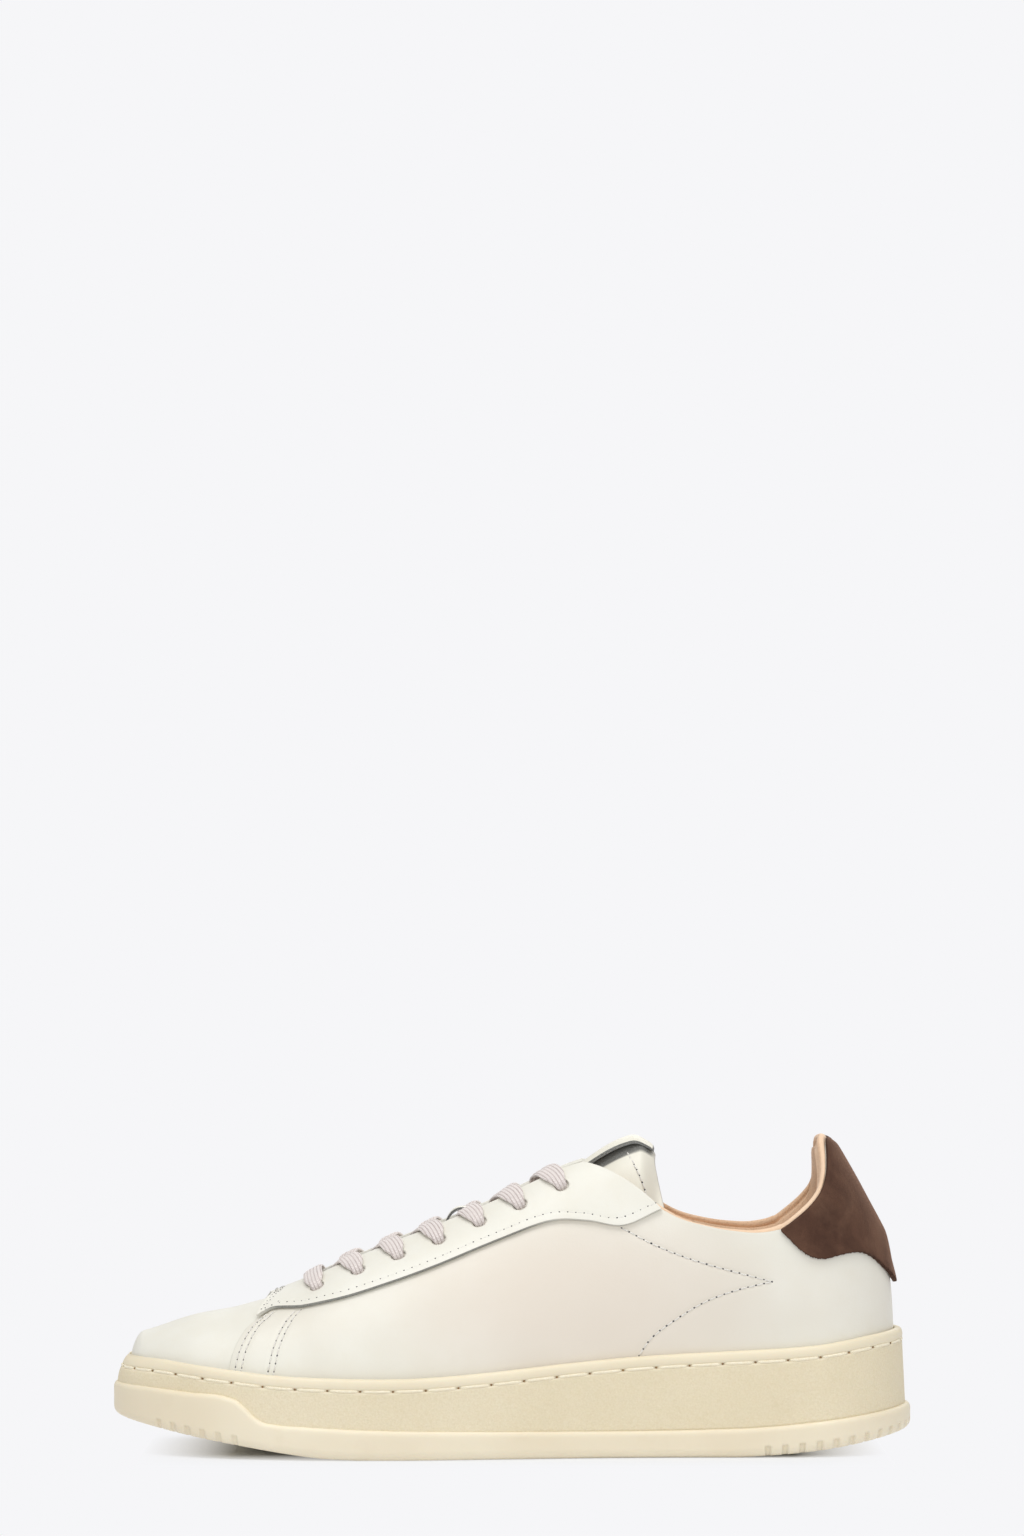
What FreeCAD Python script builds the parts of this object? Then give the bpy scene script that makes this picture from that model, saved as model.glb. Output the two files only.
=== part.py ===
"""A leather court shoe for the left foot, built as separate pieces, in millimetres.

The toe points to -X, the lateral (outer) side faces -Y, +Z is up. The origin lies on the ground
plane, midway along the outsole. One piece is one STEP file in parts/.

Every piece of the upper is a sheet that follows one smooth form, the outer face of the quarters.
A sheet is placed by its distance from that form: negative is inward, towards the foot.
"""
import FreeCAD, Part
import math
import os
from bisect import bisect_right

Vec = FreeCAD.Vector

# ---------------------------------------------------------------- driving dimensions
TOE_X, HEEL_X = -144.6, 143.5          # ends of the form
RUBBER_WALL = 6.2                      # outsole edge to the form, in plan
STEP_INSET = 1.5                       # cup wall stands back from the outsole edge
LIP_INSET = 3.3                        # cup lip stands back further still
TOE_LEAN = 2.6                         # and leans back this much more at the toe
CUP_CAVITY = RUBBER_WALL - 0.15        # inset of the cup's cavity from the outsole edge
GAP = 0.25                             # air or glue line between neighbouring sheets

LEATHER = 1.3
FORM_FACING = GAP                      # underside of the overlays: lace facing, heel patch
UNDERLAY = -LEATHER - GAP              # outer face of the vamp underlap and reinforcements
STIFFENER = UNDERLAY - LEATHER - GAP   # outer face of toe puff, heel counter, eyelet tapes
LINING = STIFFENER - 1.3 - GAP         # outer face of the linings
LINING_T = 0.8
TONGUE = LINING - LINING_T - 2.3       # outer face of the tongue, with room for the lace
COLLAR_PAD = 4.5                       # how far the collar foam bulges inward

HEEL_PIVOT_X = 100.0                   # ribs fan out round this point at the heel
HEEL_FAN_R = 33.0
HEEL_BACK = HEEL_PIVOT_X + HEEL_FAN_R * math.pi / 2

EYELETS = 7
EYELET_FIRST_X, EYELET_PITCH = -74.3, 15.45
EYELET_R = 2.5
LACE_W, LACE_T = 7.6, 1.5

STITCH_PITCH, STITCH_LEN, STITCH_R = 11.8, 9.6, 0.45
NOTCH_PITCH, NOTCH_W, NOTCH_H, NOTCH_DEEP = 6.4, 1.9, 3.0, 4.0

TONGUE_ROOT_X = -81.0


class Curve:
    """Smooth curve y(x) through a few points, straight beyond its ends."""

    def __init__(self, *points):
        self.x = [p[0] for p in points]
        self.y = [p[1] for p in points]
        n = len(points)
        d = [(self.y[i + 1] - self.y[i]) / (self.x[i + 1] - self.x[i]) for i in range(n - 1)]
        self.m = [d[0]] + [0.0] * (n - 2) + [d[-1]]
        for i in range(1, n - 1):
            before, after = self.x[i] - self.x[i - 1], self.x[i + 1] - self.x[i]
            self.m[i] = (d[i - 1] * after + d[i] * before) / (before + after)

    def __call__(self, x):
        if x <= self.x[0]:
            return self.y[0] + self.m[0] * (x - self.x[0])
        if x >= self.x[-1]:
            return self.y[-1] + self.m[-1] * (x - self.x[-1])
        i = bisect_right(self.x, x) - 1
        h = self.x[i + 1] - self.x[i]
        t = (x - self.x[i]) / h
        a, b = 1 - t, t
        return (a * a * (1 + 2 * t) * self.y[i] + b * b * (3 - 2 * t) * self.y[i + 1]
                + h * a * a * t * self.m[i] - h * b * b * a * self.m[i + 1])


def lerp(a, b, t):
    return a + (b - a) * t


def smooth(a, b, x):
    """0 before a, 1 after b, smooth between."""
    t = min(1.0, max(0.0, (x - a) / (b - a)))
    return t * t * (3 - 2 * t)


# ---------------------------------------------------------------- the form
# Half widths at the feather line before the ends close, ridge height before the ends close,
# feather height and section fullness, each along X.
HALF_LATERAL = Curve((-145, 36), (-123, 38.8), (-100, 42.3), (-70, 46.8), (-40, 47.3), (-10, 43.5),
                     (25, 38.3), (60, 35.6), (95, 35), (120, 33), (144, 31))
HALF_MEDIAL = Curve((-145, 38), (-125, 40.5), (-100, 43.5), (-65, 45.5), (-35, 43.5), (0, 37.5),
                    (30, 33.8), (60, 32.6), (95, 33.5), (120, 32.3), (144, 31))
RIDGE = Curve((-145, 41.6), (-133, 46), (-124, 49), (-115, 51.5), (-106, 53.9), (-97, 56.3),
              (-88, 58.6), (-79, 61.9), (-70, 66.5), (-56, 72.6), (-42, 78.5), (-28, 84.4),
              (-6, 94.5), (8, 102.2), (26, 111.6), (45, 119.5), (65, 126), (85, 130.5),
              (100, 130.3), (108, 127.5), (114, 122.8), (119, 116.6), (124, 108.6), (134, 90.5),
              (144, 71.5))
FEATHER_Z = Curve((-145, 23.5), (-130, 21), (-110, 18), (-88, 15.8), (-65, 14.6), (-40, 15),
                  (-10, 17.5), (20, 21), (50, 24.5), (80, 27.5), (110, 29), (144, 30))
FULLNESS = Curve((-145, 2.6), (-100, 2.5), (-60, 2.1), (0, 2.05), (30, 2.2), (60, 2.6), (95, 3.0),
                 (144, 3.1))
SQUARENESS = 2.15

LIP_Z = Curve((-150, 35.5), (-133, 35.2), (-120, 33.9), (-105, 32.4), (-88, 30.7), (-68, 29.9),
              (-37, 29.8), (-8, 31.8), (21, 34.8), (48, 37.2), (77, 38.8), (115, 41.2),
              (137, 44.2), (150, 45.6))
STEP_Z = Curve((-151, 24.9), (-138, 24.7), (-121, 23.2), (-107, 21.7), (-102.5, 19), (-98, 15.4),
               (-92, 13.1), (-81, 11.5), (-58, 10), (-27, 9.4), (10, 9), (40, 8.9), (70, 9.4),
               (93, 10.4), (115, 12.5), (130, 14.2), (151, 16.8))
FLAT_FROM, FLAT_TO = -58.0, 84.0
TOE_SPRING = Curve((-160, 14.6), (-135, 10.3), (-115, 6.9), (-100, 4.6), (-86, 2.4), (-72, 0.7),
                   (FLAT_FROM, 0))
HEEL_SPRING = Curve((FLAT_TO, 0), (100, 0.9), (115, 2.4), (130, 4.6), (160, 9.8))


def bottom_z(x):
    if x < FLAT_FROM:
        return TOE_SPRING(x)
    return HEEL_SPRING(x) if x > FLAT_TO else 0.0


def closing(x, end, reach, power):
    """Falls from 1 to 0 as x nears the end of the form, with a round nose."""
    t = min(1.0, max(0.0, abs(x - end) / reach))
    return max(0.0, 1 - (1 - t) ** 2) ** power


def half_width(x, side):
    if not TOE_X < x < HEEL_X:
        return 0.0
    curve = HALF_LATERAL if side < 0 else HALF_MEDIAL
    return curve(x) * closing(x, TOE_X, 50, 0.5) * closing(x, HEEL_X, 30, 0.5)


def ridge_z(x):
    low = FEATHER_Z(x)
    return low + (RIDGE(x) - low) * closing(x, TOE_X, 5, 0.36) * closing(x, HEEL_X, 5, 0.4)


def section_y(x, z, side):
    """Distance of the form from the XZ plane at (x, z)."""
    low, top = FEATHER_Z(x), ridge_z(x)
    if top - low < 1e-6:
        return 0.0
    r = max(0.0, (z - low) / (top - low))
    if r >= 1:
        return 0.0
    return half_width(x, side) * (1 - r ** FULLNESS(x)) ** (1 / SQUARENESS)


def field(x, y, z):
    """Below 0 inside the form, above 0 outside."""
    low = FEATHER_Z(x)
    top, half = max(ridge_z(x), low + 1e-3), max(half_width(x, y), 1e-3)
    r = max(0.0, (z - low) / (top - low))
    return (abs(y) / half) ** SQUARENESS + r ** FULLNESS(x) - 1


def normal(x, y, z, e=0.02):
    """Unit normal of the form, taken a little above the feather line and inside the two ends."""
    x = min(max(x, TOE_X + 0.03), HEEL_X - 0.03)
    z = max(z, FEATHER_Z(x) + 3)
    g = Vec(field(x + e, y, z) - field(x - e, y, z),
            field(x, y + e, z) - field(x, y - e, z),
            field(x, y, z + e) - field(x, y, z - e))
    return g.normalize()


def off(p, d):
    """Point p of the form moved by d along the form's normal."""
    return p + normal(p.x, p.y, p.z) * d


def angle_of(x, z):
    """Section angle in degrees, 0 at the feather line and 90 at the ridge."""
    r = (z - FEATHER_Z(x)) / (ridge_z(x) - FEATHER_Z(x))
    return math.degrees(math.asin(min(1.0, max(0.0, r)) ** (FULLNESS(x) / 2)))


def angle_at_y(x, y, side):
    return math.degrees(math.acos(min(1.0, (y / half_width(x, side)) ** (SQUARENESS / 2))))


def at_angle(x, angle):
    """Point of the form in the section at x. 0 is the lateral feather, 180 the medial one."""
    side = -1 if angle < 90 else 1
    a = math.radians(angle if angle < 90 else 180 - angle)
    low = FEATHER_Z(x)
    z = low + (ridge_z(x) - low) * math.sin(a) ** (2 / FULLNESS(x))
    return Vec(x, side * half_width(x, side) * max(0.0, math.cos(a)) ** (2 / SQUARENESS), z)


def at_wrap(u, z, side):
    """Point at height z and wrap distance u: x itself up to the heel pivot, then round the heel."""
    if u <= HEEL_PIVOT_X:
        return Vec(u, side * section_y(u, z, side), z)
    turn = min((u - HEEL_PIVOT_X) / HEEL_FAN_R, math.pi / 2 - 1e-4)
    near, far = 0.0, 60.0
    for _ in range(34):
        mid = (near + far) / 2
        reach = mid * math.cos(turn) - section_y(HEEL_PIVOT_X + mid * math.sin(turn), z, side)
        near, far = (near, mid) if reach > 0 else (mid, far)
    return Vec(HEEL_PIVOT_X + near * math.sin(turn), side * near * math.cos(turn), z)


# ---------------------------------------------------------------- seam and edge lines
COLLAR_Z = Curve((20, 111), (26.5, 107), (39.3, 100.6), (50, 94.2), (55, 91.1), (60.4, 88.2),
                 (72.5, 84.6), (82.6, 82.9), (92, 82.4), (99.2, 83.8), (105.9, 88.0), (112, 92.9),
                 (116.4, 97.5), (120.2, 103.2), (123.8, 109), (128.5, 114), (133, 116.2),
                 (140, 117.1), (HEEL_BACK, 117.4))
SEAM_X = Curve((0, -107.5), (19, -105.6), (32, -103.8), (41.5, -101.5), (48.6, -99.2),
               (55.3, -95.5), (71.4, -88.3), (90, -85.5))
THROAT_HALF = Curve((-78, 9), (-40, 9.5), (0, 11.5), (26.5, 13.2))
PATCH_Z = Curve((99.4, 83.2), (102, 81.3), (108.8, 77.5), (115, 73.6), (118, 73), (122, 73.2),
                (128, 74.3), (133.5, 74.3), (136.7, 72.2), (141.5, 67.5), (146.5, 64),
                (HEEL_BACK, 62.3))
FACING_EDGE_Z = Curve((-95.5, 51.5), (-89.4, 53.4), (-82.2, 53.9), (-72.2, 55.6), (-65.3, 57.4),
                      (-45, 63.8), (-28.5, 69.8), (-12.6, 76.4), (0.5, 81.7), (14.2, 86.4),
                      (19.6, 87.6), (27.6, 86.6), (36, 85), (41, 85.1), (47.8, 86.8),
                      (55.1, 91.2))
# chevron stitching, from the feather line to its point and back up to the facing
CHEVRON = ((0, 43, 23.5), (0.16, 47, 38.2), (0.28, 60.6, 50.5), (0.42, 83.3, 61.3), (0.5, 95, 64.2),
           (0.58, 84, 67), (0.78, 60, 74.6), (1, 39.3, 84.6))
CHEVRON_X = Curve(*[(t, x) for t, x, z in CHEVRON])
CHEVRON_Z = Curve(*[(t, z) for t, x, z in CHEVRON])
FOAM_BOTTOM_Z = Curve((58, 58), (90, 60), (HEEL_BACK, 78))
# degrees from the throat edge down to the eyelets
EYELET_DROP = Curve((-74.3, 14.5), (-43.4, 14.5), (-28, 13.5), (-12.5, 11.3), (3, 11), (18.4, 9.8))


def throat_angle(x):
    return angle_at_y(x, THROAT_HALF(x), -1)


def quarter_top(x):
    """Section angle of the quarter's top edge: inside the throat, then along the collar."""
    throat, collar = throat_angle(max(x, -78)) - 4, angle_of(x, COLLAR_Z(max(x, 20)))
    return -2.5 * math.log(math.exp(-throat / 2.5) + math.exp(-collar / 2.5))


def pad(u, z):
    """0 to 1, how far the collar padding is inflated here."""
    low, high = FOAM_BOTTOM_Z(u), COLLAR_Z(u)
    v = min(1.0, max(0.0, (z - low) / (high - low)))
    return math.sin(math.pi * v) ** 0.9 * smooth(58, 84, u)


# ---------------------------------------------------------------- turning point grids into solids
def spline_poles(points):
    """Poles of a smooth cubic curve through evenly timed points."""
    n = len(points)
    way = [points[1] - points[0]] * n
    if n > 2:
        way[1:-1] = [(points[i + 1] - points[i - 1]) * 0.5 for i in range(1, n - 1)]
        way[0] = (points[1] - points[0]) * 2 - way[1]
        way[-1] = (points[-1] - points[-2]) * 2 - way[-2]
    poles = [points[0]]
    for i in range(n):
        if i > 0:
            poles.append(points[i] - way[i] / 3)
        if i < n - 1:
            poles.append(points[i] + way[i] / 3)
    return poles + [points[-1]]


def face_of(grid):
    rows = [spline_poles(row) for row in grid]
    columns = [spline_poles(list(column)) for column in zip(*rows)]
    poles = [list(row) for row in zip(*columns)]
    counts = [len(grid), len(grid[0])]
    mults = [[4] + [2] * (n - 2) + [4] for n in counts]
    knots = [[float(k) for k in range(n)] for n in counts]
    surface = Part.BSplineSurface()
    surface.buildFromPolesMultsKnots(poles, mults[0], mults[1], knots[0], knots[1], False, False, 3, 3)
    return surface.toShape()


def slab(outer, inner):
    """Closed solid between two grids of points with the same rows and columns."""
    across = [list(column) for column in zip(*outer)], [list(column) for column in zip(*inner)]
    sides = [face_of([a[end], b[end]]) for a, b in ((outer, inner), across) for end in (0, -1)]
    shell = Part.makeShell([face_of(outer), face_of(inner)] + sides)
    shell.sewShape()
    solid = Part.makeSolid(shell)
    if solid.Volume < 0:
        solid.reverse()
    return solid


def sheet(grid, outer, thick):
    """Solid sheet over a grid of form points. outer and thick are numbers or functions of p."""
    top = [[off(p, outer(p) if callable(outer) else outer) for p in row] for row in grid]
    low = [[off(p, (outer(p) if callable(outer) else outer) - (thick(p) if callable(thick) else thick))
            for p in row] for row in grid]
    return slab(top, low)


def steps(n):
    return [i / (n - 1) for i in range(n)]


def nose_grid(back_x, rows=22, columns=21):
    """Vamp-like grid from the toe tip back to back_x(angle), from feather to feather."""
    grid = []
    for s in steps(rows):
        row = []
        for t in steps(columns):
            angle = 180 * t
            end = back_x(min(angle, 180 - angle))
            row.append(at_angle(lerp(TOE_X + 0.4, end, s * s), angle))
        grid.append(row)
    return grid


def side_grid(side, x0, u1, low_z, top_angle, rows=40, columns=11):
    """Grid along one side. x0 is a function of angle, u1 a wrap distance."""
    grid = []
    for s in steps(rows):
        row = []
        for t in steps(columns):
            x, angle = lerp(x0(0), u1, s), 0.0
            for _ in range(6):
                low = angle_of(x, low_z(x)) if low_z else 0.0
                angle = lerp(low, top_angle(x), t)
                x = lerp(x0(angle), u1, s)
            row.append(at_angle(x, angle if side < 0 else 180 - angle))
        grid.append(row)
    return grid


def wrap_feather(u):
    """Height of the feather line at wrap distance u."""
    return FEATHER_Z(min(u, HEEL_X))


def wrap_row(u, side, low, high, columns):
    """Rib of points at wrap distance u between two heights, closer together near the top."""
    base, crown = wrap_feather(u), RIDGE(min(u, HEEL_PIVOT_X))
    a0, a1 = (math.asin(min(1.0, max(0.0, (z - base) / (crown - base))) ** (3.0 / 2)) for z in (low, high))
    return [at_wrap(u, base + (crown - base) * math.sin(lerp(a0, a1, t)) ** (2 / 3.0), side)
            for t in steps(columns)]


def heel_grid(reach, low, high, rows=41, columns=11):
    """Grid round the heel, from wrap distance reach on the lateral side to reach on the medial."""
    grid = []
    span = HEEL_BACK - reach
    for s in steps(rows):
        w = lerp(-span, span, s)
        u = HEEL_BACK - abs(w)
        grid.append(wrap_row(u, -1 if w < 0 else 1, low(u), high(u), columns))
    return grid


def quarter_grid(side, rows=34, heel_rows=18, columns=12):
    """From the vamp seam to the back seam, and from the feather line to the top edge."""
    grid = side_grid(side, SEAM_X, HEEL_PIVOT_X, None, quarter_top, rows, columns)
    for s in steps(heel_rows)[1:]:
        u = lerp(HEEL_PIVOT_X, HEEL_BACK - 0.08, s)
        grid.append(wrap_row(u, side, wrap_feather(u), COLLAR_Z(u) - 0.3, columns))
    return grid


# ---------------------------------------------------------------- the sole
def toe_lean(x):
    return TOE_LEAN * smooth(-118, -149, x)


def outline(inset, points=96, lean=0.0):
    """Closed plan curve of the sole, inset from the outsole edge, with a share of the toe lean."""
    plan = []
    for k in range(points):
        t = k / points
        side = -1 if t < 0.5 else 1
        a = 2 * math.pi * t
        x = (TOE_X + HEEL_X) / 2 - (HEEL_X - TOE_X) / 2 * math.cos(a)
        plan.append((x, side * half_width(x, side)))
    out = []
    for k, (x, y) in enumerate(plan):
        ax, ay = plan[k - 1]
        bx, by = plan[(k + 1) % points]
        tx, ty = bx - ax, by - ay
        size = math.hypot(tx, ty)
        reach = RUBBER_WALL - inset - lean * toe_lean(x + ty / size * RUBBER_WALL)
        out.append(Vec(x + ty / size * reach, y - tx / size * reach, 0))
    return out


def outline_wire(inset, z=0.0, lean=0.0):
    curve = Part.BSplineCurve()
    points = [p + Vec(0, 0, z) for p in outline(inset, lean=lean)]
    curve.interpolate(Points=points, PeriodicFlag=True)
    return Part.Wire([curve.toShape()])


def prism(inset, z0=-5.0, z1=60.0, lean=0.0):
    return Part.Face(outline_wire(inset, z0, lean)).extrude(Vec(0, 0, z1 - z0))


def tapered(inset0, z0, inset1, z1):
    return Part.makeLoft([outline_wire(inset0, z0), outline_wire(inset1, z1, 1.0)], True, True)


def side_curve(height, x0=-156.0, x1=156.0, pieces=64):
    curve = Part.BSplineCurve()
    curve.interpolate([Vec(lerp(x0, x1, t), 0, height(lerp(x0, x1, t))) for t in steps(pieces)])
    return curve.toShape()


def ground_edges():
    """Outsole profile along X: toe spring, a flat stretch and heel spring."""
    toe, heel = Part.BSplineCurve(), Part.BSplineCurve()
    toe.interpolate([Vec(x, 0, bottom_z(x)) for x in (lerp(-156, FLAT_FROM, t) for t in steps(14))])
    heel.interpolate([Vec(x, 0, bottom_z(x)) for x in (lerp(FLAT_TO, 156, t) for t in steps(12))])
    flat = Part.makeLine(Vec(FLAT_FROM, 0, 0), Vec(FLAT_TO, 0, 0))
    return [toe.toShape(), flat, heel.toShape()]


def between(low_edges, top):
    """Slice of space between a profile made of edges and a height function, right across Y."""
    top_edge = side_curve(top)
    ends = [(low_edges[0].firstVertex().Point, top_edge.firstVertex().Point),
            (low_edges[-1].lastVertex().Point, top_edge.lastVertex().Point)]
    wire = Part.Wire(Part.__sortEdges__(low_edges + [top_edge] + [Part.makeLine(a, b) for a, b in ends]))
    face = Part.Face(wire)
    face.translate(Vec(0, -80, 0))
    return face.extrude(Vec(0, 160, 0))


def slice_between(low, top):
    return between([side_curve(low)], top)


OUTSOLE_FLOOR, CUP_FLOOR = 4.6, 3.0
BOARD_T = 1.7


def outsole():
    body = prism(0).common(between(ground_edges(), STEP_Z))
    tray = prism(4.0).common(slice_between(lambda x: bottom_z(x) + OUTSOLE_FLOOR, lambda x: 60))
    body = body.cut(tray)
    return body.cut(Part.makeCompound(notches() + pivot_grooves())).Solids[0]


def notches():
    """Short radial slots round the toe and heel, open at the tread edge."""
    points = outline(0, 480)
    cuts, run = [], 0.0
    for a, b in zip(points, points[1:] + points[:1]):
        run += (b - a).Length
        if run < NOTCH_PITCH:
            continue
        run = 0.0
        if a.x < -139 or -103 < a.x < 93:
            continue
        along = (b - a).normalize()
        box = Part.makeBox(NOTCH_W, 2 * NOTCH_DEEP, 2 * NOTCH_H)
        box.translate(Vec(-NOTCH_W / 2, -NOTCH_DEEP, -NOTCH_H))
        box.rotate(Vec(0, 0, 0), Vec(0, 0, 1), math.degrees(math.atan2(along.y, along.x)))
        box.translate(Vec(a.x, a.y, bottom_z(a.x)))
        cuts.append(box)
    return cuts


def pivot_grooves():
    """Concentric grooves under the ball and heel, where a player turns."""
    rings = []
    for centre in (Vec(-34, -1, 0), Vec(58, -1, 0)):
        for r in (8, 14, 20):
            wide = Part.makeCylinder(r + 0.9, 1.5, centre)
            rings.append(wide.cut(Part.makeCylinder(r - 0.9, 1.5, centre)))
    return rings


GROOVE_INSET, GROOVE_LEAN = 3.6, 0.6


def stitch_z(x):
    return LIP_Z(x) - 4.4


def cup_sole():
    wall = tapered(STEP_INSET, 8.0, LIP_INSET, 47.0).common(slice_between(lambda x: STEP_Z(x) + GAP, LIP_Z))
    floor = prism(4.3).common(slice_between(lambda x: bottom_z(x) + OUTSOLE_FLOOR + GAP,
                                            lambda x: STEP_Z(x) + 1.5))
    cavity = prism(CUP_CAVITY).common(
        slice_between(lambda x: bottom_z(x) + OUTSOLE_FLOOR + GAP + CUP_FLOOR, lambda x: 80))
    groove = prism(-3).cut(prism(GROOVE_INSET, lean=GROOVE_LEAN)).common(
        slice_between(lambda x: stitch_z(x) - 0.8, lambda x: stitch_z(x) + 0.8))
    return wall.fuse(floor).cut(cavity).cut(groove).Solids[0]


def sidewall_thread():
    """Long stitches lying in the cup's groove."""
    points = outline(0, 720)
    stitches, run, start = [], 0.0, 0
    for k in range(len(points)):
        run += (points[(k + 1) % len(points)] - points[k]).Length
        if run >= STITCH_LEN and start is not None:
            a, b = points[start], points[k]
            mid = points[(start + k) // 2]
            stitches.append(stitch(a, mid, b))
            start = None
        if run >= STITCH_PITCH:
            run, start = 0.0, k
    return Part.makeCompound(stitches)


def stitch(a, mid, b):
    """Straight stitch that clears the wall between a and b."""
    centre = (a + b) * 0.5
    sag = (mid - centre).Length
    inward = Vec(-(b - a).y, (b - a).x, 0).normalize()
    ends = []
    for p in (a, b):
        z = stitch_z(p.x)
        inset = GROOVE_INSET + GROOVE_LEAN * toe_lean(p.x) - STITCH_R - 0.25 - sag
        ends.append(Vec(p.x, p.y, z) + inward * inset)
    way = ends[1] - ends[0]
    return Part.makeCylinder(STITCH_R, way.Length, ends[0], way)


def board_top(x):
    return FEATHER_Z(x) - 0.35


def midsole_core():
    layer = slice_between(lambda x: bottom_z(x) + OUTSOLE_FLOOR + CUP_FLOOR + 2 * GAP,
                          lambda x: board_top(x) - BOARD_T - 0.1)
    return prism(CUP_CAVITY + 0.3).common(layer).Solids[0]


def lasting_board():
    layer = slice_between(lambda x: board_top(x) - BOARD_T, board_top)
    return prism(CUP_CAVITY + 0.3).common(layer).Solids[0]


def footbed_layer(low, top):
    inset = RUBBER_WALL - LINING + LINING_T + 0.6
    layer = slice_between(lambda x: FEATHER_Z(x) + low(x), lambda x: FEATHER_Z(x) + top(x))
    return prism(inset).common(layer).Solids[0]


def footbed_t(x):
    return lerp(3.4, 5.2, smooth(-60, 60, x))


# ---------------------------------------------------------------- the upper
def vamp_drop(p):
    """The vamp lies at the form at the toe and dips under the quarters at the seam."""
    return lerp(-0.1, UNDERLAY, smooth(-120, -108, p.x))


def vamp():
    return sheet(nose_grid(lambda a: SEAM_X(a) + 7.5), vamp_drop, LEATHER - 0.1)


def toe_puff():
    grid = nose_grid(lambda a: -117.0 + 0.05 * a, rows=14)
    return sheet(grid, lambda p: vamp_drop(p) - LEATHER - GAP, 0.9)


def vamp_lining():
    # the back edge sweeps forward in the throat to clear the tongue root
    back = Curve((0, -42.0), (45, -42.0), (58, -45.0), (66, -58.0), (74, -76.0), (82, -83.5), (90, -85.0))
    return bored(sheet(nose_grid(back, rows=26, columns=41), LINING, LINING_T))


def bored(solid, x_from=-1e9, x_to=1e9):
    """Cuts the eyelet holes through a sheet."""
    tools = []
    for side in (-1, 1):
        for x in eyelet_xs():
            p, n = eyelet(x, side)
            if x_from < x < x_to:
                tools.append(Part.makeCylinder(EYELET_R, 14, p - n * 10, n))
    return solid.cut(Part.makeCompound(tools)).Solids[0]


def eyelet_xs():
    return [EYELET_FIRST_X + EYELET_PITCH * i for i in range(EYELETS)]


def eyelet(x, side):
    """Eyelet centre on the form and the form's normal there."""
    a = throat_angle(x) - EYELET_DROP(x)
    p = at_angle(x, a if side < 0 else 180 - a)
    return p, normal(p.x, p.y, p.z)


def quarter(side):
    return bored(sheet(quarter_grid(side), 0.0, LEATHER))


def reinforcement(side):
    """Hidden saddle held by the chevron stitching and the pair of rows behind the vamp seam."""
    grid = []
    for s in steps(24):
        row = []
        for t in steps(17):
            back_x = CHEVRON_X(t)
            x = lerp(SEAM_X(72 * t) + 11.0, back_x, s)
            angle = lerp(72 * t, angle_of(back_x, CHEVRON_Z(t)), s)
            row.append(at_angle(x, angle if side < 0 else 180 - angle))
        grid.append(row)
    return bored(sheet(grid, UNDERLAY, 0.9))


def eyelet_tape(side):
    grid = []
    for s in steps(24):
        x = lerp(-80.5, 24.5, s)
        top = throat_angle(max(x, -78)) - 4.5
        angles = [lerp(top - 22, top, t) for t in steps(5)]
        grid.append([at_angle(x, a if side < 0 else 180 - a) for a in angles])
    return bored(sheet(grid, STIFFENER, 0.8))


def facing_ribs():
    """(outer edge, inner edge) of the lace facing as (x, angle) pairs, lateral collar to front."""
    pairs = [(55.1, 26.5), (41, 20), (27.6, 13), (14.2, 5), (0.5, -6), (-12.6, -18), (-28.5, -32.5),
             (-45, -47.5), (-65.3, -64.5), (-78, -72)]
    ribs = [((xo, angle_of(xo, FACING_EDGE_Z(xo))), (xi, throat_angle(xi))) for xo, xi in pairs]
    ribs[0] = ((55.1, angle_of(55.1, COLLAR_Z(55.1))), (26.5, angle_of(26.5, 107)))
    ribs.append(((-89.4, angle_of(-89.4, 53.4)), (-75.5, 81.5)))
    ribs.append(((-95.5, 55.3), (-77.4, 84.2)))
    ribs.append(((-92.6, 71.0), (-78.3, 87.0)))
    ribs.append(((-90.8, 90.0), (-78.6, 90.0)))
    return ribs


def facing_curves():
    ribs = facing_ribs()
    n = len(ribs)
    return [[Curve(*[(k / (n - 1), rib[edge][part]) for k, rib in enumerate(ribs)])
             for part in (0, 1)] for edge in (0, 1)]


def lace_facing():
    (ox, oa), (ix, ia) = facing_curves()
    grid = []
    rows, columns = 91, 7
    for s in steps(rows):
        t = 1 - abs(2 * s - 1)
        row = []
        for c in steps(columns):
            x, angle = lerp(ox(t), ix(t), c), lerp(oa(t), ia(t), c)
            row.append(at_angle(x, angle if s <= 0.5 else 180 - angle))
        grid.append(row)
    return bored(sheet(grid, FORM_FACING + LEATHER, LEATHER))


def heel_patch():
    def low(u):
        return min(PATCH_Z(u), COLLAR_Z(u) - 0.9)

    def lift(p):
        """The pointed tail stands off the heel."""
        return FORM_FACING + LEATHER + 0.9 * smooth(70, 62, p.z) * smooth(137, 141, p.x)

    grid = heel_grid(99.6, low, lambda u: COLLAR_Z(u) - 0.2, rows=49)
    return sheet(grid, lift, LEATHER)


def heel_counter():
    grid = heel_grid(74, lambda u: wrap_feather(u) + 0.2, lambda u: FOAM_BOTTOM_Z(u) - 4, rows=31)
    return sheet(grid, STIFFENER, 1.2)


def collar_foam():
    rows, columns = 49, 13
    span = HEEL_BACK - 59
    top, low = [], []
    for s in steps(rows):
        w = lerp(-span, span, s)
        u = HEEL_BACK - abs(w)
        rib = wrap_row(u, -1 if w < 0 else 1, FOAM_BOTTOM_Z(u), COLLAR_Z(u) - 2.0, columns)
        top.append([off(p, STIFFENER) for p in rib])
        low.append([off(p, STIFFENER - 1.2 - COLLAR_PAD * pad(u, p.z)) for p in rib])
    return slab(top, low)


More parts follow.
